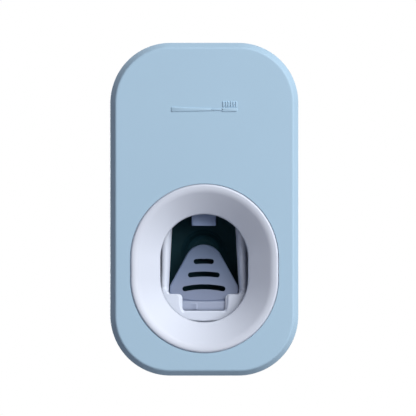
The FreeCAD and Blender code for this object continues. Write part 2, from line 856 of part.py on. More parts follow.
def make_nozzle():
    half = nozzle_width / 2
    front = paste_y - nozzle_depth / 2
    rear = paste_y + nozzle_depth / 2
    plan = [(-half, front), (half, front), (half, rear), (-half, rear)]
    block = plan_prism(plan, nozzle_bottom, head_bottom, [nozzle_corner_radius] * 4)
    plug = pin_z(nozzle_plug_radius, head_bottom, gallery_bottom, 0, paste_y)
    shape = joined([block, plug])
    shape = shape.cut(pin_z(nozzle_bore, nozzle_bottom - overrun, gallery_bottom + overrun, 0, paste_y))
    pocket_top = nozzle_bottom + duckbill_pocket_depth
    shape = shape.cut(pin_z(duckbill_pocket_radius, nozzle_bottom - overrun, pocket_top, 0, paste_y))
    return shape.cut(ring_groove(nozzle_plug_radius, nozzle_ring_wire, nozzle_ring_z()))


def make_nozzle_oring():
    return seal_ring(nozzle_plug_radius, nozzle_ring_wire, nozzle_ring_z())


def duckbill_form(radius, lip, z_high, z_mid, z_low):
    # A round tube that flattens to a lip
    points = [
        (paste_y - radius, z_high),
        (paste_y - radius, z_mid),
        (paste_y - lip / 2, z_low),
        (paste_y + lip / 2, z_low),
        (paste_y + radius, z_mid),
        (paste_y + radius, z_high),
    ]
    return side_prism(points, -radius, radius).common(pin_z(radius, z_low, z_high, 0, paste_y))


def make_duckbill_valve():
    top = nozzle_bottom + duckbill_pocket_depth
    under = top - duckbill_flange_thickness
    tip = nozzle_bottom + duckbill_recess
    flange = pin_z(duckbill_pocket_radius - slip_gap, under, top, 0, paste_y)
    bill = duckbill_form(duckbill_radius, duckbill_lip, top, under, tip)
    shape = joined([flange, bill])
    inner = duckbill_radius - duckbill_wall
    hollow = duckbill_form(inner, duckbill_slit, top + overrun, under, tip + duckbill_wall)
    shape = shape.cut(hollow)
    slit = box(-inner, inner, paste_y - duckbill_slit / 2, paste_y + duckbill_slit / 2, tip - overrun, under)
    return shape.cut(slit)


def make_inlet_valve():
    disc = pin_z(feed_plug_radius, valve_seat, feed_bottom, 0, paste_y)
    foot = Vector(0, paste_y, valve_seat - overrun)
    tall = valve_thickness + 2 * overrun
    up = Vector(0, 0, 1)
    outer = Part.makeCylinder(flap_radius + flap_slit, tall, foot, up, flap_arc)
    inner = Part.makeCylinder(flap_radius, tall, foot, up)
    return disc.cut(outer.cut(inner))


def feed_ring_z():
    return feed_bottom + feed_plug_length / 2


def slanted_cone(radius_low, radius_high, z_low, z_high):
    # From the paste axis below to the socket's axis above
    up = Vector(0, 0, 1)
    rings = ((radius_low, paste_y, z_low), (radius_high, socket_y, z_high))
    wires = [Part.Wire(Part.makeCircle(r, Vector(0, y, z), up)) for r, y, z in rings]
    return Part.makeLoft(wires, True, True)


def make_feed_pipe():
    cone_foot = cup_floor - feed_cone_height
    collar = feed_radius + feed_collar_width + feed_wall
    collar_top = head_top + feed_collar_height
    outside = [
        pin_z(feed_plug_radius, feed_bottom, head_top, 0, paste_y),
        pin_z(collar, head_top, collar_top, 0, paste_y),
        pin_z(feed_radius, collar_top, cone_foot, 0, paste_y),
        slanted_cone(feed_radius, cup_radius, cone_foot, cup_floor),
        pin_z(cup_radius, cup_floor, shelf_bottom, 0, socket_y),
    ]
    inside = [
        pin_z(feed_orifice, feed_bottom - overrun, feed_bottom + feed_orifice_length, 0, paste_y),
        pin_z(feed_bore, feed_bottom + feed_orifice_length, cone_foot, 0, paste_y),
        slanted_cone(feed_bore, cup_bore, cone_foot, cup_floor),
        pin_z(cup_bore, cup_floor, shelf_bottom + overrun, 0, socket_y),
    ]
    shape = joined(outside).cut(joined(inside))
    return shape.cut(ring_groove(feed_plug_radius, feed_ring_wire, feed_ring_z()))


def make_feed_oring():
    return seal_ring(feed_plug_radius, feed_ring_wire, feed_ring_z())


def make_tube_socket():
    sleeve = pin_z(socket_radius, socket_bottom, socket_top, 0, socket_y)
    flange = socket_plate(0.0, chassis_rear, shelf_top, socket_top)
    shape = joined([sleeve, flange])
    shape = shape.cut(pin_z(socket_bore, seal_bottom, socket_top + overrun, 0, socket_y))
    return shape.cut(pin_z(feed_bore, socket_bottom - overrun, seal_bottom + overrun, 0, socket_y))


def make_tube_seal():
    lip_top = socket_top + seal_lip_thickness
    points = [
        (tube_neck_radius, seal_bottom),
        (seal_radius, seal_bottom),
        (seal_radius, socket_top),
        (seal_radius + seal_lip_width, socket_top),
        (seal_radius + seal_lip_width, lip_top),
        (tube_neck_radius + seal_lead_in, lip_top),
        (tube_neck_radius, lip_top - seal_lead_in),
    ]
    return turned_upright(points, socket_y)


def make_bay_screws():
    screws = []
    for x, z in ear_places():
        head_front = flange_front - screw_head_height
        head = pin_y(screw_head_radius, head_front, flange_front, x, z)
        shank = pin_y(screw_radius, flange_front, flange_front + screw_length, x, z)
        screw = joined([head, shank])
        long_half = screw_recess_length / 2
        short_half = screw_recess_width / 2
        front = head_front - overrun
        back = head_front + screw_recess_depth
        for wide, tall in ((long_half, short_half), (short_half, long_half)):
            screw = screw.cut(box(x - wide, x + wide, front, back, z - tall, z + tall))
        screws.append(screw)
    return Part.makeCompound(screws)


makers = {
    "adhesive_pad": make_adhesive_pad,
    "wall_plate": make_wall_plate,
    "rear_chassis": make_rear_chassis,
    "front_cover": make_front_cover,
    "bezel_ring": make_bezel_ring,
    "brush_cradle": make_brush_cradle,
    "push_paddle": make_push_paddle,
    "paddle_pin": make_paddle_pin,
    "pump_membrane": make_pump_membrane,
    "plunger": make_plunger,
    "plunger_spring": make_plunger_spring,
    "pump_body": make_pump_body,
    "gallery_cover": make_gallery_cover,
    "nozzle": make_nozzle,
    "nozzle_oring": make_nozzle_oring,
    "duckbill_valve": make_duckbill_valve,
    "inlet_valve": make_inlet_valve,
    "feed_pipe": make_feed_pipe,
    "feed_oring": make_feed_oring,
    "tube_socket": make_tube_socket,
    "tube_seal": make_tube_seal,
    "bay_screws": make_bay_screws,
}

os.makedirs("parts", exist_ok=True)
for name, make in makers.items():
    shape = make()
    shape.exportStep("parts/" + name + ".step")
    print(name, "solids", len(shape.Solids), "valid", shape.isValid(), "volume", round(shape.Volume, 2))
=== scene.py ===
import json
import math

import bmesh
import bpy
import numpy as np
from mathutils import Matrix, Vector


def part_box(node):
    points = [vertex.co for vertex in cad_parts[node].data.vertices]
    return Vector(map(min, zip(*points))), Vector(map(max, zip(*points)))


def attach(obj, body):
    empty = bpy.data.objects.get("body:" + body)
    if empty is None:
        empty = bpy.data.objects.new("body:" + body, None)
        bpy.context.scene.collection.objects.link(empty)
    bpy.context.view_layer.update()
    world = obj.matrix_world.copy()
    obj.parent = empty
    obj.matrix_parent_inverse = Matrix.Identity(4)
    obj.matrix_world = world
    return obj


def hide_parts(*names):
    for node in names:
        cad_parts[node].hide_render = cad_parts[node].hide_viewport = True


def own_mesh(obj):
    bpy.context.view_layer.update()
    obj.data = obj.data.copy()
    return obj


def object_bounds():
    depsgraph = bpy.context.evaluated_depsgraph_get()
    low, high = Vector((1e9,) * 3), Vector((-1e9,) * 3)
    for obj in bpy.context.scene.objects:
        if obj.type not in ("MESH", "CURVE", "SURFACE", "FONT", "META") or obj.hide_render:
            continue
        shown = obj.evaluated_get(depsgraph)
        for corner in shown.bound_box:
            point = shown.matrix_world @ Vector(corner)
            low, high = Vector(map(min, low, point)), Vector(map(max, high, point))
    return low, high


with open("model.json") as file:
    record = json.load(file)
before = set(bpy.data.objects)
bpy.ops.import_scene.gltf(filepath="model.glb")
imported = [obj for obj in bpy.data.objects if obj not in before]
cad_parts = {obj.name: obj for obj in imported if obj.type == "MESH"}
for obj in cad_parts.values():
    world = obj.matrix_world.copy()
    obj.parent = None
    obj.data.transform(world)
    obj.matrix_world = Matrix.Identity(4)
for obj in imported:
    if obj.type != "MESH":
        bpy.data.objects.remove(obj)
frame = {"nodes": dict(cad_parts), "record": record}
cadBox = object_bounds()
mm = 0.001
mergeDistance = 1e-7
tiny = 1e-6  # keeps a division by a sine or a cosine finite
print("frame loaded", sorted(frame["nodes"]))


class Wire:
    # Wraps a shader socket, so that sums and products of wires add Math nodes
    def __init__(self, tree, socket=None):
        self.tree = tree
        self.socket = socket

    def node(self, kind, settings=None, inputs=None, out=0):
        made = self.tree.nodes.new(kind)
        for name, value in (settings or {}).items():
            setattr(made, name, value)
        for name, value in (inputs or {}).items():
            if isinstance(value, Wire):
                self.tree.links.new(value.socket, made.inputs[name])
            else:
                made.inputs[name].default_value = value
        return Wire(self.tree, made.outputs[out]) if made.outputs else None

    def math(self, operation, first, second):
        return self.node("ShaderNodeMath", {"operation": operation}, {0: first, 1: second})

    def __add__(self, other):
        return self.math("ADD", self, other)

    def __radd__(self, other):
        return self.math("ADD", other, self)

    def __sub__(self, other):
        return self.math("SUBTRACT", self, other)

    def __rsub__(self, other):
        return self.math("SUBTRACT", other, self)

    def __mul__(self, other):
        return self.math("MULTIPLY", self, other)

    def __rmul__(self, other):
        return self.math("MULTIPLY", other, self)


def newMaterial(name):
    material = bpy.data.materials.new(name)
    material.use_nodes = True
    material.node_tree.nodes.clear()
    wire = Wire(material.node_tree)
    return material, wire, wire.node("ShaderNodeTexCoord", out="Object")


def closeMaterial(material, wire, inputs):
    shader = wire.node("ShaderNodeBsdfPrincipled", None, inputs)
    wire.node("ShaderNodeOutputMaterial", None, {"Surface": shader})
    return material


def mixColour(wire, factor, first, second):
    # Sockets 6 and 7 of a Mix node take its two colours, and output 2 gives the mixed one
    return wire.node("ShaderNodeMix", {"data_type": "RGBA"}, {0: factor, 6: first, 7: second}, out=2)


def noise(wire, coords, scale, detail=2.0, roughness=0.5):
    inputs = {"Vector": coords, "Scale": scale, "Detail": detail, "Roughness": roughness}
    return wire.node("ShaderNodeTexNoise", {"noise_dimensions": "3D"}, inputs)


def bandedColour(wire, coords, colour, paintedShadeBands):
    # Upwards from one height to another, the colour changes to that of each band; here the bands paint shade
    mixed = colour + (1.0,)
    height = wire.node("ShaderNodeSeparateXYZ", None, {0: coords}, out="Z")
    for low, high, above in paintedShadeBands:
        settings = {"interpolation_type": "SMOOTHSTEP"}
        rise = wire.node("ShaderNodeMapRange", settings, {0: height, 1: low * mm, 2: high * mm})
        mixed = mixColour(wire, rise, mixed, above + (1.0,))
    return mixed


moulding = {"cloudDetail": 3.0, "grainDetail": 2.0, "grainRoughness": 0.6, "cloudShare": 0.7}
plainLook = {
    "deepShare": 0.96, "roughness": 0.42, "roughSwing": 0.08, "specular": 0.3, "paintedShadeBands": (),
    "cloudScale": 80.0, "grainScale": 2200.0, "grainStrength": 0.06, "grainDepth": 0.0001,
}
plasticLooks = {  # each gives what differs from the plain look
    "cover_blue": {
        "colour": (0.415, 0.585, 0.72), "deepShare": 0.955, "roughness": 0.5, "roughSwing": 0.10,
        "cloudScale": 40.0, "grainScale": 2600.0, "grainStrength": 0.10, "specular": 0.12,
    },
    "bezel_white": {
        "colour": (0.648, 0.692, 0.78), "deepShare": 0.97, "roughness": 0.30, "roughSwing": 0.06,
        "cloudScale": 60.0, "grainScale": 1800.0, "grainStrength": 0.04,
    },
    "inner_white": {"colour": (0.675, 0.728, 0.83), "roughness": 0.36, "specular": 0.4},
    # Painted shade: the paddle's white plastic is drawn blue grey for the shade deep in the bay. It is
    # lightest on the foot band, darker above the crease, and darker still up to the tip.
    "lever_grey": {
        "colour": (0.345, 0.392, 0.512), "grainStrength": 0.08,
        "paintedShadeBands": ((-34.6, -34.2, (0.185, 0.225, 0.33)), (-33.0, -20.0, (0.14, 0.19, 0.295))),
    },
    # Painted shade: the nozzle's white front is drawn blue grey for the shade it lies in under the bay's top
    "tab_painted_shade": {"colour": (0.42, 0.54, 0.785)},
    "chassis_white": {
        "colour": (0.66, 0.69, 0.75), "deepShare": 0.94, "roughness": 0.5, "roughSwing": 0.10,
        "cloudScale": 50.0, "grainScale": 1600.0, "grainStrength": 0.14, "grainDepth": 0.0002,
        "specular": 0.4,
    },
    "black_silicone": {
        "colour": (0.0035, 0.029, 0.039), "deepShare": 0.8, "roughness": 0.7, "roughSwing": 0.12,
        "cloudScale": 90.0, "grainScale": 2500.0, "grainStrength": 0.12, "specular": 0.15,
    },
    "clear_silicone": {
        "colour": (0.50, 0.53, 0.57), "deepShare": 0.9, "roughness": 0.45, "roughSwing": 0.10,
        "cloudScale": 90.0, "grainScale": 1500.0, "grainStrength": 0.05, "specular": 0.35,
    },
    "foam_tape": {
        "colour": (0.62, 0.62, 0.60), "deepShare": 0.75, "roughness": 0.85, "roughSwing": 0.10,
        "cloudScale": 300.0, "grainScale": 900.0, "grainStrength": 0.6, "grainDepth": 0.0003,
        "specular": 0.2,
    },
}


def mouldedPlastic(name, ownLook):
    # Spark-textured moulding: fine bumps, cloudy tone and a roughness that varies a little
    look = {**plainLook, **ownLook}
    material, wire, coords = newMaterial(name)
    cloud = noise(wire, coords, look["cloudScale"], moulding["cloudDetail"])
    grain = noise(wire, coords, look["grainScale"], moulding["grainDetail"], moulding["grainRoughness"])
    base = bandedColour(wire, coords, look["colour"], look["paintedShadeBands"])
    tone = cloud * moulding["cloudShare"] + grain * (1 - moulding["cloudShare"])
    colour = mixColour(wire, (1.0 - tone) * (1.0 - look["deepShare"]), base, (0.0, 0.0, 0.0, 1.0))
    rough = look["roughness"] + (cloud + grain - 1.0) * look["roughSwing"]
    bumpInputs = {"Strength": look["grainStrength"], "Distance": look["grainDepth"], "Height": grain}
    bump = wire.node("ShaderNodeBump", None, bumpInputs)
    inputs = {"Base Color": colour, "Roughness": rough, "Normal": bump}
    return closeMaterial(material, wire, {**inputs, "Specular IOR Level": look["specular"]})


steel = {"dullShare": 0.8, "roughSwing": 0.2, "lineStrength": 0.1, "lineDepth": 0.00005}
steelLooks = {
    "pin_steel": {"colour": (0.56, 0.56, 0.57), "roughness": 0.25, "drawScale": (40.0, 3000.0, 3000.0)},
    "spring_steel": {"colour": (0.50, 0.50, 0.52), "roughness": 0.30, "drawScale": (1500.0, 60.0, 1500.0)},
    "screw_steel": {"colour": (0.55, 0.56, 0.58), "roughness": 0.34, "drawScale": (1800.0, 1800.0, 1800.0)},
}


def drawnSteel(name, look):
    # Metal with fine drawing lines along one axis
    material, wire, coords = newMaterial(name)
    stretched = wire.node("ShaderNodeMapping", None, {"Vector": coords, "Scale": look["drawScale"]})
    lines = noise(wire, stretched, 1.0)
    dull = tuple(c * steel["dullShare"] for c in look["colour"]) + (1.0,)
    colour = mixColour(wire, lines, dull, look["colour"] + (1.0,))
    rough = look["roughness"] + (lines - 0.5) * steel["roughSwing"]
    bumpInputs = {"Strength": steel["lineStrength"], "Distance": steel["lineDepth"], "Height": lines}
    bump = wire.node("ShaderNodeBump", None, bumpInputs)
    inputs = {"Base Color": colour, "Roughness": rough, "Metallic": 1.0, "Normal": bump}
    return closeMaterial(material, wire, inputs)


materials = {name: mouldedPlastic(name, look) for name, look in plasticLooks.items()}
materials.update({name: drawnSteel(name, look) for name, look in steelLooks.items()})
slotOf = {row["node"]: row["material_slot"] for row in frame["record"]["subparts"]}
for name, node in frame["nodes"].items():
    node.data.materials.clear()
    node.data.materials.append(materials[slotOf[name]])
print("materials", len(materials))


def boxOf(node):
    # Two corners of a node's box, in millimetres
    low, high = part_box(node)
    return np.array(low) / mm, np.array(high) / mm


def fullTurn(count):
    return np.linspace(0, 2 * np.pi, count, endpoint=False)[None, :]


def gridFaces(rows, columns, wrapRows, wrapColumns):
    # Four neighbours of the grid make a face; a wrapped side joins its last line to its first
    index = np.arange(rows * columns).reshape(rows, columns)
    index = np.vstack([index, index[:1]]) if wrapRows else index
    index = np.hstack([index, index[:, :1]]) if wrapColumns else index
    corners = (index[:-1, :-1], index[1:, :-1], index[1:, 1:], index[:-1, 1:])
    return np.stack(corners, axis=-1).reshape(-1, 4)


def linked(name, data):
    made = bpy.data.objects.new(name, data)
    bpy.context.scene.collection.objects.link(made)
    return made


def shadeSmooth(mesh, sharp):
    mesh.polygons.foreach_set("use_smooth", np.ones(len(mesh.polygons), dtype=bool))
    mesh.set_sharp_from_angle(angle=math.radians(sharp))


def makePiece(name, grids, sharp=40.0):
    # grids are (points in millimetres, wrapRows, wrapColumns); lines that shrink to a point are merged
    points, faces, start = [], [], 0
    for grid, wrapRows, wrapColumns in grids:
        rows, columns = grid.shape[:2]
        points.append(grid.reshape(-1, 3) * mm)
        faces.append(gridFaces(rows, columns, wrapRows, wrapColumns) + start)
        start += rows * columns
    return pieceFrom(name, np.vstack(points), np.vstack(faces).tolist(), sharp)


def pieceFrom(name, points, faces, sharp=40.0):
    mesh = bpy.data.meshes.new(name)
    mesh.from_pydata(points.tolist(), [], faces)
    work = bmesh.new()
    work.from_mesh(mesh)
    bmesh.ops.remove_doubles(work, verts=work.verts, dist=mergeDistance)
    bmesh.ops.dissolve_degenerate(work, edges=work.edges, dist=mergeDistance)
    bmesh.ops.recalc_face_normals(work, faces=work.faces)
    work.to_mesh(mesh)
    work.free()
    shadeSmooth(mesh, sharp)
    return linked(name, mesh)


def finishPiece(piece, body, slotName, nodes=(), material=None):
    piece.data.materials.clear()
    piece.data.materials.append(materials[material or slotName])
    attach(piece, body)
    if nodes:
        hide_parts(*nodes)
    print("piece", piece.name, len(piece.data.polygons), "faces")


def addPiece(name, grids, body, slotName, nodes=(), sharp=50.0, material=None):
    # Edges that bend more than sharp degrees stay crisp
    piece = makePiece(name, grids, sharp)
    finishPiece(piece, body, slotName, nodes, material)
    return piece


def softLoop(points, cuts, steps):
    # Closed outline: each corner becomes a quadratic curve from a cut before it to a cut after it
    points = np.array(points, dtype=float)
    cuts = np.array(cuts, dtype=float)[:, None]
    back = np.roll(points, 1, axis=0) - points
    ahead = np.roll(points, -1, axis=0) - points
    start = points + back / np.linalg.norm(back, axis=1, keepdims=True) * cuts
    end = points + ahead / np.linalg.norm(ahead, axis=1, keepdims=True) * cuts
    t = np.linspace(0.0, 1.0, steps)[None, :, None]
    curve = start[:, None] * (1 - t) ** 2 + points[:, None] * 2 * t * (1 - t) + end[:, None] * t**2
    return curve.reshape(-1, points.shape[1])


def turned(radius, height, angle, centre, axis):
    # Points at each radius and height, carried round an axis through the centre
    first, second = centre[0] + radius * np.cos(angle), centre[1] + radius * np.sin(angle)
    tall = height + 0 * first
    return np.stack([first, tall, second] if axis == "y" else [first, second, tall], axis=-1)


def softMax(a, b, width):
    # The larger of two values, with a smooth change over about the width
    return 0.5 * (a + b + np.sqrt((a - b) ** 2 + width**2))


def softMin(a, b, width):
    return -softMax(-a, -b, width)


def smoothStep(value, low, high):
    # 0 up to low and 1 from high, with a cubic between
    t = np.clip((value - low) / (high - low), 0.0, 1.0)
    return t * t * (3 - 2 * t)


def bell(value, middle, width):
    # 1 at the middle, falling away to both sides as a Gaussian
    return np.exp(-(((value - middle) / width) ** 2))


def blockReach(angle, wide, deep, soft):
    # How far the side of a block with soft corners lies from its middle at each angle
    side, end = np.maximum(np.abs(np.cos(angle)), tiny), np.maximum(np.abs(np.sin(angle)), tiny)
    return softMin(wide / side, deep / end, soft)


def carve(piece, cutters, sharp):
    # Cuts closed shapes out of a piece and keeps the result as its mesh
    for cutter in cutters:
        cut = piece.modifiers.new("cut", "BOOLEAN")
        cut.operation = "DIFFERENCE"
        cut.solver = "EXACT"
        cut.object = cutter
    seen = piece.evaluated_get(bpy.context.evaluated_depsgraph_get())
    mesh = bpy.data.meshes.new_from_object(seen)
    piece.modifiers.clear()
    piece.data = mesh
    for cutter in cutters:
        bpy.data.objects.remove(cutter)
    shadeSmooth(mesh, sharp)


def prism(name, outline, yLow, yHigh):
    # A closed outline in x and z, carried from one depth to another
    count = len(outline)
    ends = [np.column_stack([outline[:, 0], np.full(count, y), outline[:, 1]]) for y in (yLow, yHigh)]
    sides = gridFaces(2, count, False, True).tolist()
    caps = [list(range(count)), list(range(2 * count - 1, count - 1, -1))]
    return pieceFrom(name, np.vstack(ends) * mm, sides + caps)


paddle = {
    "slope": 23.0,  # degrees that the plate leans back
    "thickness": 2.0,
    "apexRadius": 7.3,
    "shoulderDrop": 15.6,  # from the tip to where the sides turn upright
    "shoulderSoft": 0.4,
    "creaseDrop": 21.25,  # from the tip to the crease
    "creaseSag": 0.67,
    "creaseHalf": 8.05,
    "creaseSoft": 0.25,
    "footRadius": 2.6,
    "footSoft": 0.6,  # how softly the plate's back runs into the foot
    "sideSpread": 0.4,  # how far each side stands out past the solid's
    "edge": 0.6,
    "edgeOfDepth": 0.45,  # largest shares of depth and half width that an edge takes
    "edgeOfWidth": 0.8,
    "slotHeight": 1.9,
    "slots": ((6.2, 7.6, 0.12), (11.0, 11.9, 0.35), (15.75, 16.1, 0.75)),  # drop, length and arch
    "glintX": -2.8,
    "glintRamp": 1.3,  # the rib rises slowly on one side and falls steeply on the other
    "glintWidth": 0.24,
    "glintHeight": 0.4,
    "glintFoot": (1.2, 0.6),  # below the hinge, where the rib starts and is full
    "glintHead": (1.0, 0.5),  # below the crease, where it fades and ends
    "boreRadius": 1.31,
    "grooveDepth": 0.4,
    "grooveWidth": 0.3,
    "cutMargin": 1.0,
    "rows": (14, 150, 26),  # on the foot, the plate and the dome
    "columns": 41,
    "ribColumns": 13,
    "cornerSteps": 8,
}


def paddleSections():
    # Sections across the plate, stacked from the foot up to the tip: a run along the front, a round corner,
    # the side, a round corner, a run along the back, and the same on the other side
    low, high = boxOf("push_paddle")
    tip, half, footFront = high[2], high[0] + paddle["sideSpread"], low[1]
    slope, foot, apex = math.radians(paddle["slope"]), paddle["footRadius"], paddle["apexRadius"]
    lean, behind = math.tan(slope), paddle["thickness"] / math.cos(slope)
    crease, shoulder = tip - paddle["creaseDrop"], tip - paddle["shoulderDrop"]
    hingeY, hingeZ, domeZ = footFront + foot, low[2] + foot, tip - apex
    taper = math.atan2(half, domeZ - shoulder) - math.asin(apex / math.hypot(half, domeZ - shoulder))
    touchZ = domeZ + apex * math.sin(taper)

    footRows, plateRows, domeRows = paddle["rows"]
    z = np.concatenate([
        hingeZ - foot * np.cos(np.linspace(0, np.pi / 2, footRows)),
        np.linspace(hingeZ, touchZ, plateRows)[1:],
        domeZ + apex * np.sin(np.linspace(taper, np.pi / 2, domeRows))[1:],
    ])[:, None]
    straight = half - (z - shoulder) * math.tan(taper)
    arc = np.sqrt(np.maximum(apex**2 - (z - domeZ) ** 2, 0.0))
    width = np.where(z > touchZ, arc, softMin(half, straight, paddle["shoulderSoft"]))
    barrel = np.sqrt(np.maximum(foot**2 - (z - hingeZ) ** 2, 0.0))
    slant = footFront + (z - crease) * lean
    back = softMax(slant + behind, hingeY + barrel, paddle["footSoft"])
    back = np.where(z < hingeZ, hingeY + barrel, back)
    back = np.where(z > hingeZ + 2 * foot, slant + behind, back)

    # Columns lie closer round the rib, which is narrower than their usual step
    fine = paddle["glintX"] + paddle["glintWidth"] * np.linspace(-3, 3, paddle["ribColumns"])
    run = np.sort(np.concatenate([np.linspace(-1, 1, paddle["columns"]), fine / (half - paddle["edge"])]))
    turn = np.linspace(0, np.pi / 2, paddle["cornerSteps"])
    flat, one, zero = 0 * run, 0 * turn + 1, 0 * turn
    across = np.concatenate([run, one, one, -run, -one, -one])[None]  # share of the flat half width
    out = np.concatenate([flat, np.sin(turn), np.cos(turn), flat, -np.sin(turn), -np.cos(turn)])[None]
    inset = np.concatenate([flat, 1 - np.cos(turn), 1 - np.sin(turn)] * 2)[None]
    atBack = np.concatenate([flat, zero, one, flat + 1, one, zero])[None]

    flatFront = np.where(z < hingeZ, hingeY - barrel, footFront)
    depth = np.abs(back - np.maximum(flatFront, slant))
    edge = np.minimum(paddle["edgeOfDepth"] * depth, paddle["edgeOfWidth"] * width)
    edge = np.minimum(paddle["edge"], edge)
    x = across * (width - edge) + out * edge
    sag = paddle["creaseSag"] * (x / paddle["creaseHalf"]) ** 2
    crown = flatFront + sag * lean
    front = np.where(z < hingeZ, crown, softMax(crown, slant + 0 * x, paddle["creaseSoft"]))
    groove = bell(z, crease + sag, paddle["grooveWidth"]) * (z > hingeZ)
    start, full = (hingeZ - drop for drop in paddle["glintFoot"])
    fade, end = (crease - drop for drop in paddle["glintHead"])
    band = smoothStep(z, start, full) * (1 - smoothStep(z, fade, end))
    spread = np.where(x < paddle["glintX"], paddle["glintRamp"], paddle["glintWidth"])
    rib = band * bell(x, paddle["glintX"], spread)
    front = front + paddle["grooveDepth"] * groove - paddle["glintHeight"] * rib
    y = np.where(atBack > 0.5, back - inset * edge, front + inset * edge)
    return np.stack([x, y, z + 0 * x], axis=-1), tip, hingeY, hingeZ


def slotOutline(middle, length, arch, height):
    # A bar with round ends, bent along an arc that rises by arch in the middle
    half = (length - height) / 2
    sweep = (half**2 + arch**2) / (2 * arch)
    turn = math.asin(half / sweep)
    along = np.linspace(-turn, turn, 25)
    cap = np.linspace(0, np.pi, 13)[1:-1, None]
    arc = np.column_stack([np.sin(along), np.cos(along)])
    ends = []
    for side in (1, -1):
        centre = np.array([math.sin(side * turn), math.cos(side * turn)])
        way = np.array([math.cos(turn), -side * math.sin(turn)]) * side
        ends.append(centre * sweep + height / 2 * (np.cos(cap) * centre * side + np.sin(cap) * way))
    loop = [arc * (sweep + height / 2), ends[0], arc[::-1] * (sweep - height / 2), ends[1]]
    return np.vstack(loop) + np.array([0.0, middle - sweep])


def makePaddle():
    sections, tip, hingeY, hingeZ = paddleSections()
    piece = makePiece("pushPaddle", [(sections, False, True)])
    low, high = boxOf("push_paddle")
    margin = paddle["cutMargin"]
    cutters = []
    for drop, length, arch in paddle["slots"]:
        outline = slotOutline(tip - drop, length, arch, paddle["slotHeight"])
        cutters.append(prism("slotCutter", outline, low[1] - margin, high[1] + margin))
    # The pin's bore: a closed cylinder across the foot
    turn = fullTurn(40)
    x = np.array([-1, -1, 1, 1])[:, None] * (high[0] + margin) + 0 * turn
    radius = np.array([0, 1, 1, 0])[:, None] * paddle["boreRadius"]
    bore = np.stack([x, hingeY + radius * np.cos(turn), hingeZ + radius * np.sin(turn)], axis=-1)
    cutters.append(makePiece("boreCutter", [(bore, False, True)]))
    carve(piece, cutters, sharp=35.0)
    finishPiece(piece, "paddle", "lever_grey", ["push_paddle"])


def softBox(low, high, edge, steps=5):
    # A block with round edges: its outline shrinks by the edge along a quarter circle at both ends
    low, high = np.array(low, dtype=float), np.array(high, dtype=float)
    turn = np.linspace(0, np.pi / 2, steps)
    inset = np.concatenate([[1.0], 1 - np.sin(turn), 1 - np.cos(turn), [1.0]]) * edge
    along = np.concatenate([[0.0], 1 - np.cos(turn)]) * edge
    x = np.concatenate([low[0] + along, (high[0] - along)[::-1]])
    corners = np.array([(low[1], low[2]), (high[1], low[2]), (high[1], high[2]), (low[1], high[2])])
    loop = softLoop(corners, [edge] * 4, steps)
    middle = (low[1:] + high[1:]) / 2
    share = 1 - inset[:, None, None] / np.minimum(*((high - low)[1:] / 2))
    share[0], share[-1] = 0.0, 0.0
    ring = middle + (loop - middle)[None] * share
    return np.concatenate([x[:, None, None] + 0 * ring[..., :1], ring], axis=-1)


tab = {"soft": 0.2, "bevel": 0.08}  # shares of the thickness and of the width that its edges take


def washer(centre, radius, hole, yLow, yHigh, reach=0.0):
    # A flat tab with a round hole: rings between the hole and an outline that reaches out to one side
    angle = fullTurn(48)
    ring = np.stack([np.cos(angle), np.sin(angle)], axis=-1)
    core, rim = hole * ring, radius * ring
    if reach:
        rim[..., 0] = np.where(np.cos(angle) * np.sign(reach) > 0, reach, rim[..., 0])
    soft, near, far = tab["soft"] * (yHigh - yLow), tab["bevel"], 1 - tab["bevel"]
    share = np.array([0.0, 0.0, near, far, 1.0, 1.0, far, near])[:, None, None]
    y = np.array([yHigh - soft, yLow + soft, yLow, yLow, yLow + soft, yHigh - soft, yHigh, yHigh])[:, None]
    flat = core + (rim - core) * share
    return np.stack([centre[0] + flat[..., 0], y + 0 * flat[..., 0], centre[1] + flat[..., 1]], axis=-1)


bezel = {
    "crest": 0.35,  # how far the rim stands out from the cover
    "coverFace": 2.2,  # thickness of the cover in front of the flange
    "rimWidth": 2.4,
    "rimRound": 0.9,
    "throatRound": 1.5,
    "seamGap": 0.18,
    "seamDepth": 0.45,
    "seamRound": 0.2,
    "bayRadius": 16.3,
    "neckLength": 3.0,  # straight run between the funnel and its tail
    "neckDraft": 0.1,
    "wall": 1.8,
    "lipRound": 0.5,
    "flangeWidth": 2.0,
    "flangeThickness": 1.6,
    "flangeFillet": 0.8,
    "flangeRound": 0.3,
    "bayHeight": -22.05,
    "bayStraight": 7.7,
    "earRadius": 3.2,
    "earOffset": 3.8,
    "stakeRadius": 1.25,
}


def roundTheBay(profile, count=72):
    # Each (radius, depth) of the profile carried round two half circles joined by straight sides
    half = np.linspace(0, np.pi, count)
    angle = np.concatenate([half, half + np.pi])[None, :]
    lift = np.concatenate([0 * half + 0.5, 0 * half - 0.5])[None, :] * bezel["bayStraight"]
    return turned(profile[:, :1], profile[:, 1:], angle, (0.0, bezel["bayHeight"] + lift), "y")


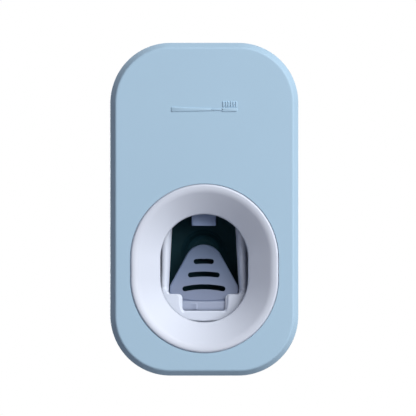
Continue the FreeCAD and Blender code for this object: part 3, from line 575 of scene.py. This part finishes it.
def makeBezel():
    # Rows of radius, depth and corner cut: up the seam, over the rim, down cone and neck, and back outside
    flangeEdge, tail = boxOf("bezel_ring")[1][:2]
    coverFront = boxOf("front_cover")[0][1]
    outer, crest = flangeEdge - bezel["flangeWidth"], coverFront - bezel["crest"]
    rim, throat = outer - bezel["seamGap"], outer - bezel["rimWidth"]
    seam, flangeFront = coverFront + bezel["seamDepth"], coverFront + bezel["coverFace"]
    flangeRear = flangeFront + bezel["flangeThickness"]
    bay, neck = bezel["bayRadius"], tail - bezel["neckLength"]
    tailOuter, neckRadius = bay + bezel["wall"], bay + bezel["neckDraft"]
    behind = tailOuter + (neck - flangeRear) * (throat - neckRadius) / (neck - crest)
    lip, seamRound, flangeRound = bezel["lipRound"], bezel["seamRound"], bezel["flangeRound"]
    rows = np.array([
        (outer, flangeFront, seamRound), (outer, seam, seamRound), (rim, seam, seamRound / 2),
        (rim, crest, bezel["rimRound"]), (throat, crest, bezel["throatRound"]), (neckRadius, neck, lip),
        (bay, tail, lip), (tailOuter, tail, lip), (tailOuter, neck, lip),
        (behind, flangeRear, bezel["flangeFillet"]), (flangeEdge, flangeRear, flangeRound),
        (flangeEdge, flangeFront, flangeRound),
    ])
    grids = [(roundTheBay(softLoop(rows[:, :2], rows[:, 2], 9)), True, True)]
    reach = (outer + bezel["earOffset"]) * math.sqrt(0.5)
    for sideX in (-1, 1):
        for sideZ in (-1, 1):
            middle = (sideX * reach, bezel["bayHeight"] + sideZ * (reach + bezel["bayStraight"] / 2))
            ear = washer(middle, bezel["earRadius"], bezel["stakeRadius"], flangeFront, flangeRear)
            grids.append((ear, True, True))
    addPiece("bezelRing", grids, "cover", "bezel_white", ["bezel_ring"], sharp=60.0)


cradle = {
    "notchHalf": 8.05,
    "notchFloorDrop": 15.9,  # below the middle of the bay
    "lugTopDrop": 9.6,
    "railFoot": 13.2,
    "railHead": 11.45,
    "notchRound": 1.3,
    "lugRound": 1.9,
    "railRound": 1.0,
    "pathCounts": (14, 8, 12, 10, 10, 8, 70),  # points on each run and bend of the window's edge
    "pathAngles": (-90, -66, -58, -40, -30, -22, -18),  # of the outer edge beside the start of each
    "plateRadius": 16.15,  # the front follows the bay's edge
    "plateSpread": 0.6,  # and runs under it beside the lugs
    "spreadAngles": (-84, -66),
    "spreadFade": 9.0,  # height above the lugs over which the spread ends
    "railStart": (-0.3, 2.6),  # heights from the lug's top between which lug turns to rail
    "railRise": 1.7,  # how far the rails' rounded fronts fall away at their sides
    "railPower": 2.4,  # 2 makes them elliptic, and more makes them squarer
    "railLean": 1.3,  # above 1, the ridge lies nearer to the rail's outer side
    "railFlank": 2.2,  # how much more the side towards the window falls away
    "railSetback": 1.6,  # the rails lie behind the lugs
    "frontSetback": 1.3,  # and the lugs behind the solid's front
    "floorEdge": 0.5,  # softened edge along the notch's floor
    "lugEdge": 1.6,  # and along the lugs' sides
    "topEdge": 0.8,
    "edgePower": 1.5,  # 1 is a flat bevel, and more is rounder
    "outerEdge": 0.7,
    "plateThickness": 1.1,
    "stepShare": 0.75,  # of that thickness, where the plate's outer edge ends
    "stepDrop": 0.4,
    "flangeThickness": 2.4,
    "cavityFloor": 13.9,
    "cavitySoft": 0.6,
    "boxFloor": 18.15,
    "boxSoft": 2.0,
    "windowTop": -1.35,
    "windowBottom": -36.6,
    "barOverlap": 0.6,
    "barEdge": 0.4,
    "earRadius": 3.6,
    "earHole": 1.6,
    "earOverlap": 1.0,
    "earLowZ": -34.0,
    "earHighZ": -4.45,
    "earX": 20.9,
    "rows": 34,
}


def bentPath(points, cuts, counts):
    # Open path: straight runs, with a quadratic curve from a cut before each inner corner to a cut after it
    points = np.array(points, dtype=float)
    ways = np.diff(points, axis=0)
    ways = ways / np.linalg.norm(ways, axis=1, keepdims=True)
    parts, start = [], points[0]
    for i, cut in enumerate(cuts):
        corner = points[i + 1]
        before, after = corner - ways[i] * cut, corner + ways[i + 1] * cut
        t = np.linspace(0, 1, counts[2 * i], endpoint=False)[:, None]
        parts.append(start * (1 - t) + before * t)
        t = np.linspace(0, 1, counts[2 * i + 1], endpoint=False)[:, None]
        parts.append(before * (1 - t) ** 2 + corner * 2 * t * (1 - t) + after * t**2)
        start = after
    t = np.linspace(0, 1, counts[-1])[:, None]
    parts.append(start * (1 - t) + points[-1] * t)
    return np.vstack(parts)


def cradleHalf():
    # The window's edge from the middle of the notch's floor out and up to the rail's head. Beside each of its
    # points, at an angle from the bay's middle, lie the plate's outer edge, the box's side and the cavity
    top = boxOf("brush_cradle")[1][2]
    bayMiddle, counts, radius = bezel["bayHeight"], cradle["pathCounts"], cradle["plateRadius"]
    floor, lugTop = bayMiddle - cradle["notchFloorDrop"], bayMiddle - cradle["lugTopDrop"]
    notch, foot = cradle["notchHalf"], cradle["railFoot"]
    corners = [(0, floor), (notch, floor), (notch, lugTop), (foot, lugTop), (cradle["railHead"], top)]
    inner = bentPath(corners, [cradle["notchRound"], cradle["lugRound"], cradle["railRound"]], counts)
    height = inner[:, 1]
    rail = np.arange(len(inner)) >= sum(counts[:-1])

    centre = np.array([0.0, bayMiddle - bezel["bayStraight"] / 2])
    starts = np.radians(cradle["pathAngles"])
    angles = [np.linspace(a, b, n, endpoint=False) for a, b, n in zip(starts, starts[1:], counts)]
    railAngle = np.arcsin(np.clip((height[rail] - centre[1]) / radius, -1, 0))
    angle = np.concatenate(angles + [railAngle])
    way = np.column_stack([np.cos(angle), np.sin(angle)])
    lift = np.where(rail, np.maximum(height - centre[1], 0.0), 0.0)
    base = centre + np.column_stack([0 * lift, lift])
    beside = 1 - smoothStep(height, lugTop, lugTop + cradle["spreadFade"])
    beside = beside * smoothStep(np.degrees(angle), *cradle["spreadAngles"])
    plateReach = radius + cradle["plateSpread"] * beside
    boxReach = np.maximum(blockReach(angle, radius, cradle["boxFloor"], cradle["boxSoft"]), plateReach)
    cavityReach = blockReach(angle, foot, cradle["cavityFloor"], cradle["cavitySoft"])
    plate, boxSide, cavity = (base + way * reach[:, None] for reach in (plateReach, boxReach, cavityReach))
    cavity = np.where(rail[:, None], inner, cavity)

    start, full = (lugTop + rise for rise in cradle["railStart"])
    railShare = smoothStep(height, start, full) * rail
    edges = [cradle[k] for k in ("floorEdge", "lugEdge", "lugEdge", "topEdge")]
    soft = np.interp(np.arange(len(inner)), np.cumsum(counts)[:4], edges)
    return inner, plate, boxSide, cavity, railShare, rail, soft


def mirrored(half):
    # A half joined to its mirror image, in which places change the sign of x
    flip = half[:0:-1] * (np.array([-1, 1]) if half.ndim > 1 else 1)
    return np.concatenate([flip, half])


def makeCradle():
    # Front of the frame over a share t from the window's edge to the outer edge: the lugs are flat with round
    # edges, and the rails are rounded ridges. The last rows run down the outside and back through the cavity
    low, high = boxOf("brush_cradle")
    front, rear = low[1] + cradle["frontSetback"], high[1]
    flange = rear - cradle["flangeThickness"]
    inner, plate, boxSide, cavity, railShare, rail, soft = (mirrored(half)[None] for half in cradleHalf())
    t = (1 - np.cos(np.linspace(0, np.pi, cradle["rows"])))[:, None] / 2
    width = np.linalg.norm(plate - inner, axis=-1)
    nearInner = np.clip(1 - t * width / soft, 0, 1)
    nearOuter = np.clip(1 - (1 - t) * width / cradle["outerEdge"], 0, 1)
    lug = soft * nearInner ** cradle["edgePower"] + cradle["outerEdge"] * (1 - np.sqrt(1 - nearOuter**2))
    across, power = 2 * t ** cradle["railLean"] - 1, cradle["railPower"]
    ridge = cradle["railRise"] * (1 - (1 - np.abs(across) ** power) ** (1 / power))
    ridge = ridge * np.where(across < 0, cradle["railFlank"], 1.0)
    face = front + lug * (1 - railShare) + (cradle["railSetback"] + ridge) * railShare
    step = front + cradle["plateThickness"] * cradle["stepShare"]
    step = step + (cradle["railSetback"] + cradle["stepDrop"]) * railShare
    back = np.where(rail, flange, front + cradle["plateThickness"])
    end = rear + 0 * step
    outside = [(plate, step), (boxSide, step), (boxSide, end), (cavity, end), (cavity, back), (inner, back)]
    flat = np.concatenate([inner + (plate - inner) * t[..., None]] + [place for place, depth in outside])
    y = np.concatenate([face] + [depth for place, depth in outside])
    grid = np.stack([flat[..., 0], y, flat[..., 1]], axis=-1)
    caps = [np.broadcast_to(grid[:, i].mean(axis=0), grid[:, i].shape)[:, None] for i in (0, -1)]
    grids = [(np.concatenate([caps[0], grid, caps[1]], axis=1), True, False)]

    wide, edge = cradle["railFoot"] + cradle["barOverlap"], cradle["barEdge"]
    floor = bezel["bayHeight"] - bezel["bayStraight"] / 2 - cradle["cavityFloor"] - cradle["barOverlap"]
    for bottom, top in ((cradle["windowTop"], high[2]), (floor, cradle["windowBottom"])):
        grids.append((softBox((-wide, flange, bottom), (wide, rear, top), edge), False, True))
    reach = cradle["earX"] - cradle["railFoot"] - cradle["earOverlap"]
    for side in (-1, 1):
        for z in (cradle["earLowZ"], cradle["earHighZ"]):
            centre = (side * cradle["earX"], z)
            ear = washer(centre, cradle["earRadius"], cradle["earHole"], flange, rear, -side * reach)
            grids.append((ear, True, True))
    addPiece("brushCradle", grids, "unit", "inner_white", ["brush_cradle"])


nozzle = {
    "plateDepth": 3.5,  # half of the block's depth
    "plugRadius": 3.6,
    "boreRadius": 1.7,
    "pocketRadius": 2.7,
    "pocketTop": -2.0,
    "shoulder": 1.25,
    "grooveFloor": 2.55,
    "edge": 0.35,
    "edgeRise": 0.3,  # share of the edge's height at its middle row
    "edgeShares": (0.93, 0.98),  # of the block's outline, at the edge's start and its middle row
    "cornerSoft": 0.9,
}


def makeNozzle():
    # Rows run from the pocket up the bore and down the outside: a share of the block's outline plus a radius
    low, high = boxOf("nozzle")
    ringLow, ringHigh = (corner[2] for corner in boxOf("nozzle_oring"))
    angle = fullTurn(128)
    block = blockReach(angle, high[0], nozzle["plateDepth"], nozzle["cornerSoft"])
    plug, bore, pocket, edge = (nozzle[k] for k in ("plugRadius", "boreRadius", "pocketRadius", "edge"))
    roof, groove, shoulder = nozzle["pocketTop"], nozzle["grooveFloor"], nozzle["shoulder"]
    top, bottom, rise = high[2], low[2], nozzle["edgeRise"] * edge
    start, bend = nozzle["edgeShares"]
    rows = [
        (0, pocket, bottom + edge), (0, pocket, roof), (0, bore, roof), (0, bore, top - edge),
        (0, bore + edge, top), (0, plug - edge, top), (0, plug, top - edge), (0, plug, ringHigh),
        (0, groove, ringHigh), (0, groove, ringLow), (0, plug, ringLow), (0, plug, shoulder),
        (start, 0, shoulder), (bend, 0, shoulder - rise), (1, 0, shoulder - edge),
        (1, 0, (shoulder + bottom) / 2), (1, 0, bottom + edge), (bend, 0, bottom + rise), (start, 0, bottom),
        (0, pocket + edge, bottom),
    ]
    share, circle, z = (np.array(v, dtype=float)[:, None] for v in zip(*rows))
    grids = [(turned(share * block + circle, z, angle, (0.0, (low[1] + high[1]) / 2), "z"), True, True)]
    # The nozzle wears the blue grey that paints the shade on its front
    addPiece("pasteNozzle", grids, "unit", "lever_grey", ["nozzle"], sharp=30.0, material="tab_painted_shade")


duckbill = {
    "flangeDepth": 1.0,
    "tubeRadius": 2.0,
    "boreRadius": 1.45,
    "lipHalf": 0.42,
    "slitHalf": 0.05,
    "slitShares": (0.8, 0.78),  # of the tube's radius, at the lips and behind them
    "middleShares": (0.75, 0.7),  # how thick tube and bore still are half way down
    "edge": 0.12,
}


def makeDuckbill():
    # Ellipses stacked along the paste's way: round at the flange, flattened to a slit at the lips
    low, high = boxOf("duckbill_valve")
    bottom, top, flange = low[2], high[2], high[0]
    tube, bore, lip, slit = (duckbill[k] for k in ("tubeRadius", "boreRadius", "lipHalf", "slitHalf"))
    edge, under = duckbill["edge"], top - duckbill["flangeDepth"]
    middle = (under + bottom) / 2
    tubeShare, boreShare = duckbill["middleShares"]
    lipShare, insideShare = duckbill["slitShares"]
    rows = [
        (bore, bore, top), (flange - edge, flange - edge, top), (flange, flange, top - edge),
        (flange, flange, under + edge), (flange - edge, flange - edge, under),
        (tube + edge, tube + edge, under), (tube, tube, under - edge), (tube, tube * tubeShare, middle),
        (tube, lip + edge, bottom + 2 * lip), (tube, lip, bottom + edge), (tube - edge, lip - edge, bottom),
        (tube * lipShare, slit, bottom), (tube * insideShare, slit, bottom + lip),
        (bore, bore * boreShare, middle), (bore, bore, under),
    ]
    wide, thick, z = (np.array(v)[:, None] for v in zip(*rows))
    angle = fullTurn(80)
    y = (low[1] + high[1]) / 2 + thick * np.sin(angle)
    grids = [(np.stack([wide * np.cos(angle), y, z + 0 * y], axis=-1), True, True)]
    addPiece("duckbillValve", grids, "unit", "clear_silicone", ["duckbill_valve"])


sealRings = {
    "nodes": {"nozzleRing": "nozzle_oring", "feedRing": "feed_oring"},
    "partingShare": 0.03,  # of the section's radius
    "partingWidth": 0.12,
}


def makeSealRings():
    # Ring of round section with the fine moulding line round its outside
    for name, node in sealRings["nodes"].items():
        low, high = boxOf(node)
        minor, share = (high[2] - low[2]) / 2, sealRings["partingShare"]
        turn = fullTurn(48).T - np.pi
        radius = minor * (1 - share + share * bell(turn, 0.0, sealRings["partingWidth"]))
        out, z = high[0] - minor + radius * np.cos(turn), low[2] + minor + radius * np.sin(turn)
        grid = turned(out, z, fullTurn(96), (0.0, (low[1] + high[1]) / 2), "z")
        addPiece(name, [(grid, True, True)], "unit", "black_silicone", [node], sharp=60.0)


tubeSeal = {
    "boreRadius": 6.0,
    "sleeveRadius": 7.6,
    "lipDepth": 0.6,
    "lipEdge": 0.1,
    "ribs": 4,
    "ribHeight": 0.28,
    "ribWidth": 0.5,
    "edge": 0.25,
}


def makeTubeSeal():
    # Sleeve whose bore carries soft ribs, turned about the tube's axis
    low, high = boxOf("tube_seal")
    bottom, top, lip = low[2], high[2], high[0]
    edge, sleeve = tubeSeal["edge"], tubeSeal["sleeveRadius"]
    z = np.linspace(bottom + edge, top - edge, 90)
    places = np.linspace(bottom, top, tubeSeal["ribs"] + 2)[1:-1]
    ribs = bell(z[:, None], places, tubeSeal["ribWidth"]).sum(axis=1)
    bore = np.column_stack([tubeSeal["boreRadius"] + tubeSeal["ribHeight"] * (1 - ribs), z])
    under = top - tubeSeal["lipDepth"]
    wide = tubeSeal["boreRadius"] + 2 * edge
    outside = np.array([
        (wide, top), (lip - edge, top), (lip, top - edge), (lip, under + tubeSeal["lipEdge"]),
        (lip - edge, under), (sleeve, under), (sleeve, bottom + edge), (sleeve - edge, bottom),
        (wide, bottom),
    ])
    profile = np.vstack([bore, outside])
    grid = turned(profile[:, :1], profile[:, 1:], fullTurn(96), (0.0, (low[1] + high[1]) / 2), "z")
    addPiece("tubeSeal", [(grid, True, True)], "unit", "clear_silicone", ["tube_seal"])


inletValve = {
    "flapRadius": 2.75,
    "slitWidth": 0.13,
    "slitDepth": 0.42,
    "slitTurn": 2.53,  # radians to each side, up to the flap's hinge
    "slitFade": 0.06,
    "rimWidth": 1.1,
    "rimStep": 0.12,
    "rimSoft": 0.15,
    "edge": 0.2,
}


def makeInletValve():
    # Disc with a fine groove round most of its flap, on both faces, and a slightly raised rim
    low, high = boxOf("inlet_valve")
    outer, edge = high[0], inletValve["edge"]
    angle = fullTurn(144) - np.pi
    radius = np.concatenate([np.linspace(0, outer - edge, 120), [outer]])[:, None]
    end, fade = inletValve["slitTurn"], inletValve["slitFade"]
    slit = bell(radius, inletValve["flapRadius"], inletValve["slitWidth"])
    slit = slit * (1 - smoothStep(np.abs(angle), end - fade, end + fade))
    start, soft = outer - inletValve["rimWidth"], inletValve["rimSoft"]
    step = 1 - smoothStep(radius, start - soft, start + soft)
    dip = inletValve["slitDepth"] * slit + inletValve["rimStep"] * step
    dip[-1] = edge
    radius = np.concatenate([radius, radius[::-1]])
    z = np.concatenate([high[2] - dip, (low[2] + dip)[::-1]])
    grids = [(turned(radius, z, angle, (0.0, (low[1] + high[1]) / 2), "z"), False, True)]
    addPiece("inletValve", grids, "unit", "clear_silicone", ["inlet_valve"])


membrane = {
    "thickness": 1.2,
    "bellowsRadius": 8.5,
    "bellowsMargin": 0.5,  # the fine rings reach this far past the bellows
    "padRadius": 4.6,
    "cornerSoft": 1.6,
    "rippleHeight": 0.2,
    "ripples": 2,
    "ringRadius": 3.5,  # shallow ring round the middle of the pad
    "ringDepth": 0.16,
    "ringWidth": 0.3,
    "edge": 0.3,
    "keepShare": 0.06,
}


def plungerHeight():
    low, high = boxOf("plunger")
    return (low[2] + high[2]) / 2


def makeMembrane():
    # Rings about the pad's middle: circles on the bellows that spread out to the sheet's own outline
    low, high = boxOf("pump_membrane")
    centreZ = plungerHeight()
    thickness, edge = membrane["thickness"], membrane["edge"]
    sheet = high[1] - thickness
    angle = fullTurn(160)
    reach = np.where(np.sin(angle) > 0, high[2] - centreZ, centreZ - low[2])
    outline = blockReach(angle, high[0], reach, membrane["cornerSoft"])
    pad, bellows = membrane["padRadius"], membrane["bellowsRadius"]
    fineEnd = bellows + membrane["bellowsMargin"]
    inner = np.linspace(0, fineEnd, 80)[:, None] + 0 * angle
    outer = fineEnd + (outline - edge - fineEnd) * np.linspace(0, 1, 24)[1:, None]
    radius = np.concatenate([inner, outer])
    share = np.clip((radius - pad) / (bellows - pad), 0, 1)
    rise = (sheet - low[1]) * (1 - smoothStep(share, 0, 1))
    ripple = np.sin(2 * np.pi * membrane["ripples"] * share) * np.sin(np.pi * share)
    face = sheet - rise + membrane["rippleHeight"] * ripple
    ring = membrane["ringDepth"] * bell(radius, membrane["ringRadius"], membrane["ringWidth"])
    rimY = np.array([[sheet + edge], [high[1] - edge]]) + 0 * angle
    radius = np.concatenate([radius, outline, outline, radius[::-1]])
    y = np.concatenate([face + ring, rimY, (face + thickness)[::-1]])
    grid = turned(radius, y, angle, (0.0, centreZ), "y")
    piece = addPiece("pumpMembrane", [(grid, False, True)], "unit", "black_silicone", ["pump_membrane"])
    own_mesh(piece)


spring = {"wire": 0.7, "smallRadius": 2.6, "largeRadius": 5.4, "turns": 3, "keepShare": 0.125}


def makeSpring():
    # Round wire carried along a conical helix, with both ends closed
    low, high = boxOf("plunger_spring")
    centreZ, half = plungerHeight(), spring["wire"] / 2
    share = np.linspace(0, 1, 320)
    turn = 2 * np.pi * spring["turns"] * share
    radius = spring["smallRadius"] + (spring["largeRadius"] - spring["smallRadius"]) * share
    path = turned(radius, low[1] + half + (high[1] - low[1] - 2 * half) * share, turn, (0.0, centreZ), "y")
    way = np.gradient(path, axis=0)
    way = way / np.linalg.norm(way, axis=1, keepdims=True)
    out = np.cross(way, np.array([0.0, 1.0, 0.0]))
    out = out / np.linalg.norm(out, axis=1, keepdims=True)
    along = np.cross(out, way)
    angle = fullTurn(18)[..., None]
    tube = path[:, None] + half * (np.cos(angle) * out[:, None] + np.sin(angle) * along[:, None])
    ends = [np.broadcast_to(path[i], tube[i].shape)[None] for i in (0, -1)]
    grids = [(np.concatenate([ends[0], tube, ends[1]]), False, True)]
    piece = addPiece("plungerSpring", grids, "unit", "spring_steel", ["plunger_spring"], sharp=60.0)
    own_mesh(piece)


screws = {
    "headRadius": 2.6,
    "headHeight": 1.8,
    "crown": 0.5,
    "crownInset": 0.2,  # from the head's side to where its crown ends
    "rimDrop": 0.75,  # from the crown's top to the upper edge of the side
    "rimEdge": 0.15,
    "neck": 0.1,
    "shankRadius": 1.3,
    "threadDepth": 0.22,
    "threadGap": 0.2,
    "pitch": 0.9,
    "tip": 0.9,
    "tipShare": 0.55,
    "tipDrop": 0.3,
    "recessHalf": 1.4,
    "recessWidth": 0.6,
    "recessDepth": 0.9,
    "recessSteep": 3.0,
}


def makeScrews():
    # Rows run from the head's middle over its rim and down a shank whose radius winds with the thread
    low, high = boxOf("bay_screws")
    top, point = low[1], high[1]
    head, shank, edge = screws["headRadius"], screws["shankRadius"], screws["rimEdge"]
    under = top + screws["headHeight"]
    angle = fullTurn(80)
    crown = np.linspace(0, head - screws["crownInset"], 30)[:, None]
    x, z = np.abs(crown * np.cos(angle)), np.abs(crown * np.sin(angle))
    thin, far = screws["recessWidth"] / 2, screws["recessHalf"]
    arms = np.clip((1 - np.minimum(x, z) / thin) * screws["recessSteep"], 0, 1) * (np.maximum(x, z) < far)
    recess = screws["recessDepth"] * arms * (1 - crown / far / 2)
    domed = top + screws["crown"] * (crown / head) ** 2 + recess
    rim = np.array([
        (head, top + screws["rimDrop"]), (head, under - edge), (head - edge, under),
        (shank + screws["neck"], under),
    ])
    y = np.linspace(under + screws["threadGap"], point - screws["tip"], 90)[:, None]
    wind = np.abs((y / screws["pitch"] + angle / (2 * np.pi)) % 1.0 - 0.5) * 2
    thread = shank - screws["threadDepth"] * wind
    end = np.array([(shank * screws["tipShare"], point - screws["tipDrop"]), (0.0, point)])
    radius = np.concatenate([v + 0 * angle for v in (crown, rim[:, :1], thread, end[:, :1])])
    depth = np.concatenate([v + 0 * angle for v in (domed, rim[:, 1:], y, end[:, 1:])])
    grids = []
    for sideX in (low[0] + head, high[0] - head):
        for sideZ in (low[2] + head, high[2] - head):
            grids.append((turned(radius, depth, angle, (sideX, sideZ), "y"), False, True))
    addPiece("bayScrews", grids, "unit", "screw_steel", ["bay_screws"], sharp=40.0)


tape = {"cornerCut": 5.4, "bulge": 0.35, "fill": 0.9}


def makeTape():
    # Foam between plate and wall: flat on both faces, its edge bulging a little
    low, high = boxOf("adhesive_pad")
    wide, tall = high[0], high[2]
    corners = [(-wide, -tall), (wide, -tall), (wide, tall), (-wide, tall)]
    outline = softLoop(corners, [tape["cornerCut"]] * 4, 16)
    spread, quarter = np.linspace(0, 1, 8), np.pi / 2
    bend = np.linspace(-quarter, quarter, 9)[1:-1]
    shares = np.concatenate([spread, 0 * bend + 1, spread[::-1]])[:, None]
    turn = np.concatenate([0 * spread - quarter, bend, 0 * spread + quarter])[:, None]
    inset = tape["bulge"] * (1 - np.cos(turn))
    y = (low[1] + high[1]) / 2 + (high[1] - low[1]) / 2 * np.sin(turn)
    x = outline[None, :, 0] * shares * (1 - inset / wide)
    z = outline[None, :, 1] * shares * (1 - inset / tall)
    grid = np.stack([x, y + 0 * x, z], axis=-1)
    piece = addPiece("adhesivePad", [(grid, False, True)], "wall", "foam_tape", ["adhesive_pad"], sharp=60.0)


badge = {
    "height": 38.05,
    "relief": 0.3,
    "root": 0.2,
    "edge": 0.16,
    "edgeStep": 0.3,  # share of the edge at its middle row
    "forms": (  # outlines and corner cuts of the handle, the neck and the head
        (((-12.3, -1.75), (2.8, -1.4), (2.8, -0.5), (-12.3, 0.05)), 0.42),
        (((2.4, -1.35), (6.9, -1.3), (6.9, -0.6), (2.4, -0.55)), 0.2),
        (((6.3, -1.7), (12.3, -1.7), (12.3, -0.3), (6.3, -0.3)), 0.6),
    ),
    "tufts": 6,
    "tuftFirst": 7.1,
    "tuftStep": 0.94,
    "tuftHalf": 0.3,
    "tuftLow": -0.05,
    "tuftHigh": 2.1,
    "tuftCut": 0.2,
}


def reliefGrid(outline, cut, coverFront):
    # A convex outline raised from the cover with softened edges
    loop = softLoop(outline, [cut] * len(outline), 7)
    low, high = loop.min(axis=0), loop.max(axis=0)
    middle, half = (low + high) / 2, (high - low) / 2
    edge, step = badge["edge"], badge["edgeStep"]
    inset = np.array([0.0, 0.0, step, 1.0])[:, None, None] * edge / half
    rows = middle + (loop - middle)[None] * (1 - inset)
    rows = np.concatenate([0 * rows[:1] + middle, rows, 0 * rows[:1] + middle])
    face, root = coverFront - badge["relief"], coverFront + badge["root"]
    y = np.array([root, root, face + edge, face + step * edge, face, face])[:, None] + 0 * rows[..., 0]
    return np.stack([rows[..., 0], y, badge["height"] + rows[..., 1]], axis=-1), False, True


def makeBadge():
    coverFront = boxOf("front_cover")[0][1]
    forms = list(badge["forms"])
    low, high, half = badge["tuftLow"], badge["tuftHigh"], badge["tuftHalf"]
    for i in range(badge["tufts"]):
        x = badge["tuftFirst"] + i * badge["tuftStep"]
        tuft = ((x - half, low), (x + half, low), (x + half, high), (x - half, high))
        forms.append((tuft, badge["tuftCut"]))
    grids = [reliefGrid(outline, cut, coverFront) for outline, cut in forms]
    addPiece("brushBadge", grids, "cover", "cover_blue")


nub = {"radius": 2.2, "flare": 0.5, "flareShare": 0.3, "flareRise": 0.5, "sunk": 0.9}


def makeNub():
    # Half ball with a flared root on the paddle's back, turned about its own axis
    tipY, radius = boxOf("push_paddle")[1][1], nub["radius"]
    turn = np.linspace(0, np.pi / 2, 18)
    ball = np.column_stack([np.sin(turn), np.cos(turn) - 1]) * radius + np.array([0.0, tipY])
    root, bend = tipY - radius - nub["sunk"], radius + nub["flare"] * nub["flareShare"]
    flare = np.array([(bend, root + nub["flareRise"]), (radius + nub["flare"], root), (0.0, root)])
    profile = np.vstack([ball, flare])
    grid = turned(profile[:, :1], profile[:, 1:], fullTurn(64), (0.0, plungerHeight()), "y")
    addPiece("paddleNub", [(grid, False, True)], "paddle", "lever_grey")


makePaddle()
makeBezel()
makeCradle()
makeNozzle()
makeDuckbill()
makeSealRings()
makeTubeSeal()
makeInletValve()
makeMembrane()
makeSpring()
makeScrews()
makeTape()
makeBadge()
makeNub()

# Studio: long lens straight on, key light from the upper right, a weaker one behind, pale floor well below
studio = {
    "pixel": 0.3723 * mm,  # real size of one pixel on the cover's front
    "imageSide": 416,
    "aim": (1.32 * mm, 0.45 * mm),  # middle of the picture against the middle of the cover
    "distance": 4.0,
    "sideAngle": -0.7,  # degrees that the camera stands to the left
    "sensor": 36.0,
    "farClip": 50.0,
    "lamps": (("keyLight", (0.56, -0.70, 0.44), 32.9), ("backLight", (-0.4, 0.87, 0.3), 14.0)),  # way, watts
    "lampDistance": 1.5,
    "lampSize": 1.7,
    "fill": 0.10,
    "fillTint": (0.92, 0.93, 1.28),
    "floorDrop": 1.7,
    "floorReach": 2.0,
    "floorTones": ((0.84, 0.84, 0.85, 1.0), (0.88, 0.88, 0.88, 1.0)),
    "floorSpeck": 30.0,
    "floorRoughness": 0.7,
    "floorPale": 0.85,  # how far the floor shows its own colour, whatever light falls on it
}


def makeCamera(scene):
    data = bpy.data.cameras.new("frontCamera")
    camera = linked("frontCamera", data)
    aside, away = math.radians(studio["sideAngle"]), studio["distance"]
    aimX, aimZ = studio["aim"]
    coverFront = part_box("front_cover")[0].y
    camera.location = (aimX + away * math.sin(aside), coverFront - away * math.cos(aside), aimZ)
    camera.rotation_euler = (math.pi / 2, 0, aside)
    data.sensor_width = studio["sensor"]
    data.lens = studio["sensor"] * away / (studio["pixel"] * studio["imageSide"])
    data.clip_end = studio["farClip"]
    scene.camera = camera


def makeLamps():
    for name, direction, power in studio["lamps"]:
        data = bpy.data.lights.new(name, "AREA")
        data.shape = "DISK"
        data.size = studio["lampSize"]
        data.energy = power
        lamp = linked(name, data)
        lamp.location = np.array(direction) / np.linalg.norm(direction) * studio["lampDistance"]
        lamp.rotation_euler = (-lamp.location).to_track_quat("-Z", "Y").to_euler()


def shownRays(wire):
    # 1 for what the camera, a reflection or a clear piece sees of the background, 0 for light on the object
    path = wire.tree.nodes.new("ShaderNodeLightPath")
    rays = ("Is Camera Ray", "Is Glossy Ray", "Is Transmission Ray")
    camera, glossy, clear = (Wire(wire.tree, path.outputs[ray]) for ray in rays)
    return wire.math("MAXIMUM", wire.math("MAXIMUM", camera, glossy), clear)


def makeWorld(scene):
    world = bpy.data.worlds.new("studioWorld")
    scene.world = world
    world.use_nodes = True
    world.node_tree.nodes.clear()
    wire = Wire(world.node_tree)
    tint = tuple(c * studio["fill"] for c in studio["fillTint"]) + (1.0,)
    sky = mixColour(wire, shownRays(wire), tint, (1.0, 1.0, 1.0, 1.0))
    background = wire.node("ShaderNodeBackground", None, {"Color": sky, "Strength": 1.0})
    wire.node("ShaderNodeOutputWorld", None, {"Surface": background})


def makeFloor():
    low, reach = cadBox[0][2] - studio["floorDrop"], studio["floorReach"]
    mesh = bpy.data.meshes.new("studioFloor")
    corners = [(-reach, -reach, low), (reach, -reach, low), (reach, reach, low), (-reach, reach, low)]
    mesh.from_pydata(corners, [], [(0, 1, 2, 3)])
    material, wire, coords = newMaterial("paleFloor")
    tone = mixColour(wire, noise(wire, coords, studio["floorSpeck"]), *studio["floorTones"])
    surface = {"Base Color": tone, "Roughness": studio["floorRoughness"]}
    lit = wire.node("ShaderNodeBsdfPrincipled", None, surface)
    pale = wire.node("ShaderNodeEmission", None, {"Color": tone, "Strength": 1.0})
    shown = shownRays(wire) * studio["floorPale"]
    mixed = wire.node("ShaderNodeMixShader", None, {0: shown, 1: lit, 2: pale})
    wire.node("ShaderNodeOutputMaterial", None, {"Surface": mixed})
    mesh.materials.append(material)
    linked("studioFloor", mesh)


bpy.context.scene.view_settings.view_transform = "Standard"
makeCamera(bpy.context.scene)
makeLamps()
makeWorld(bpy.context.scene)
makeFloor()
print("studio ready")
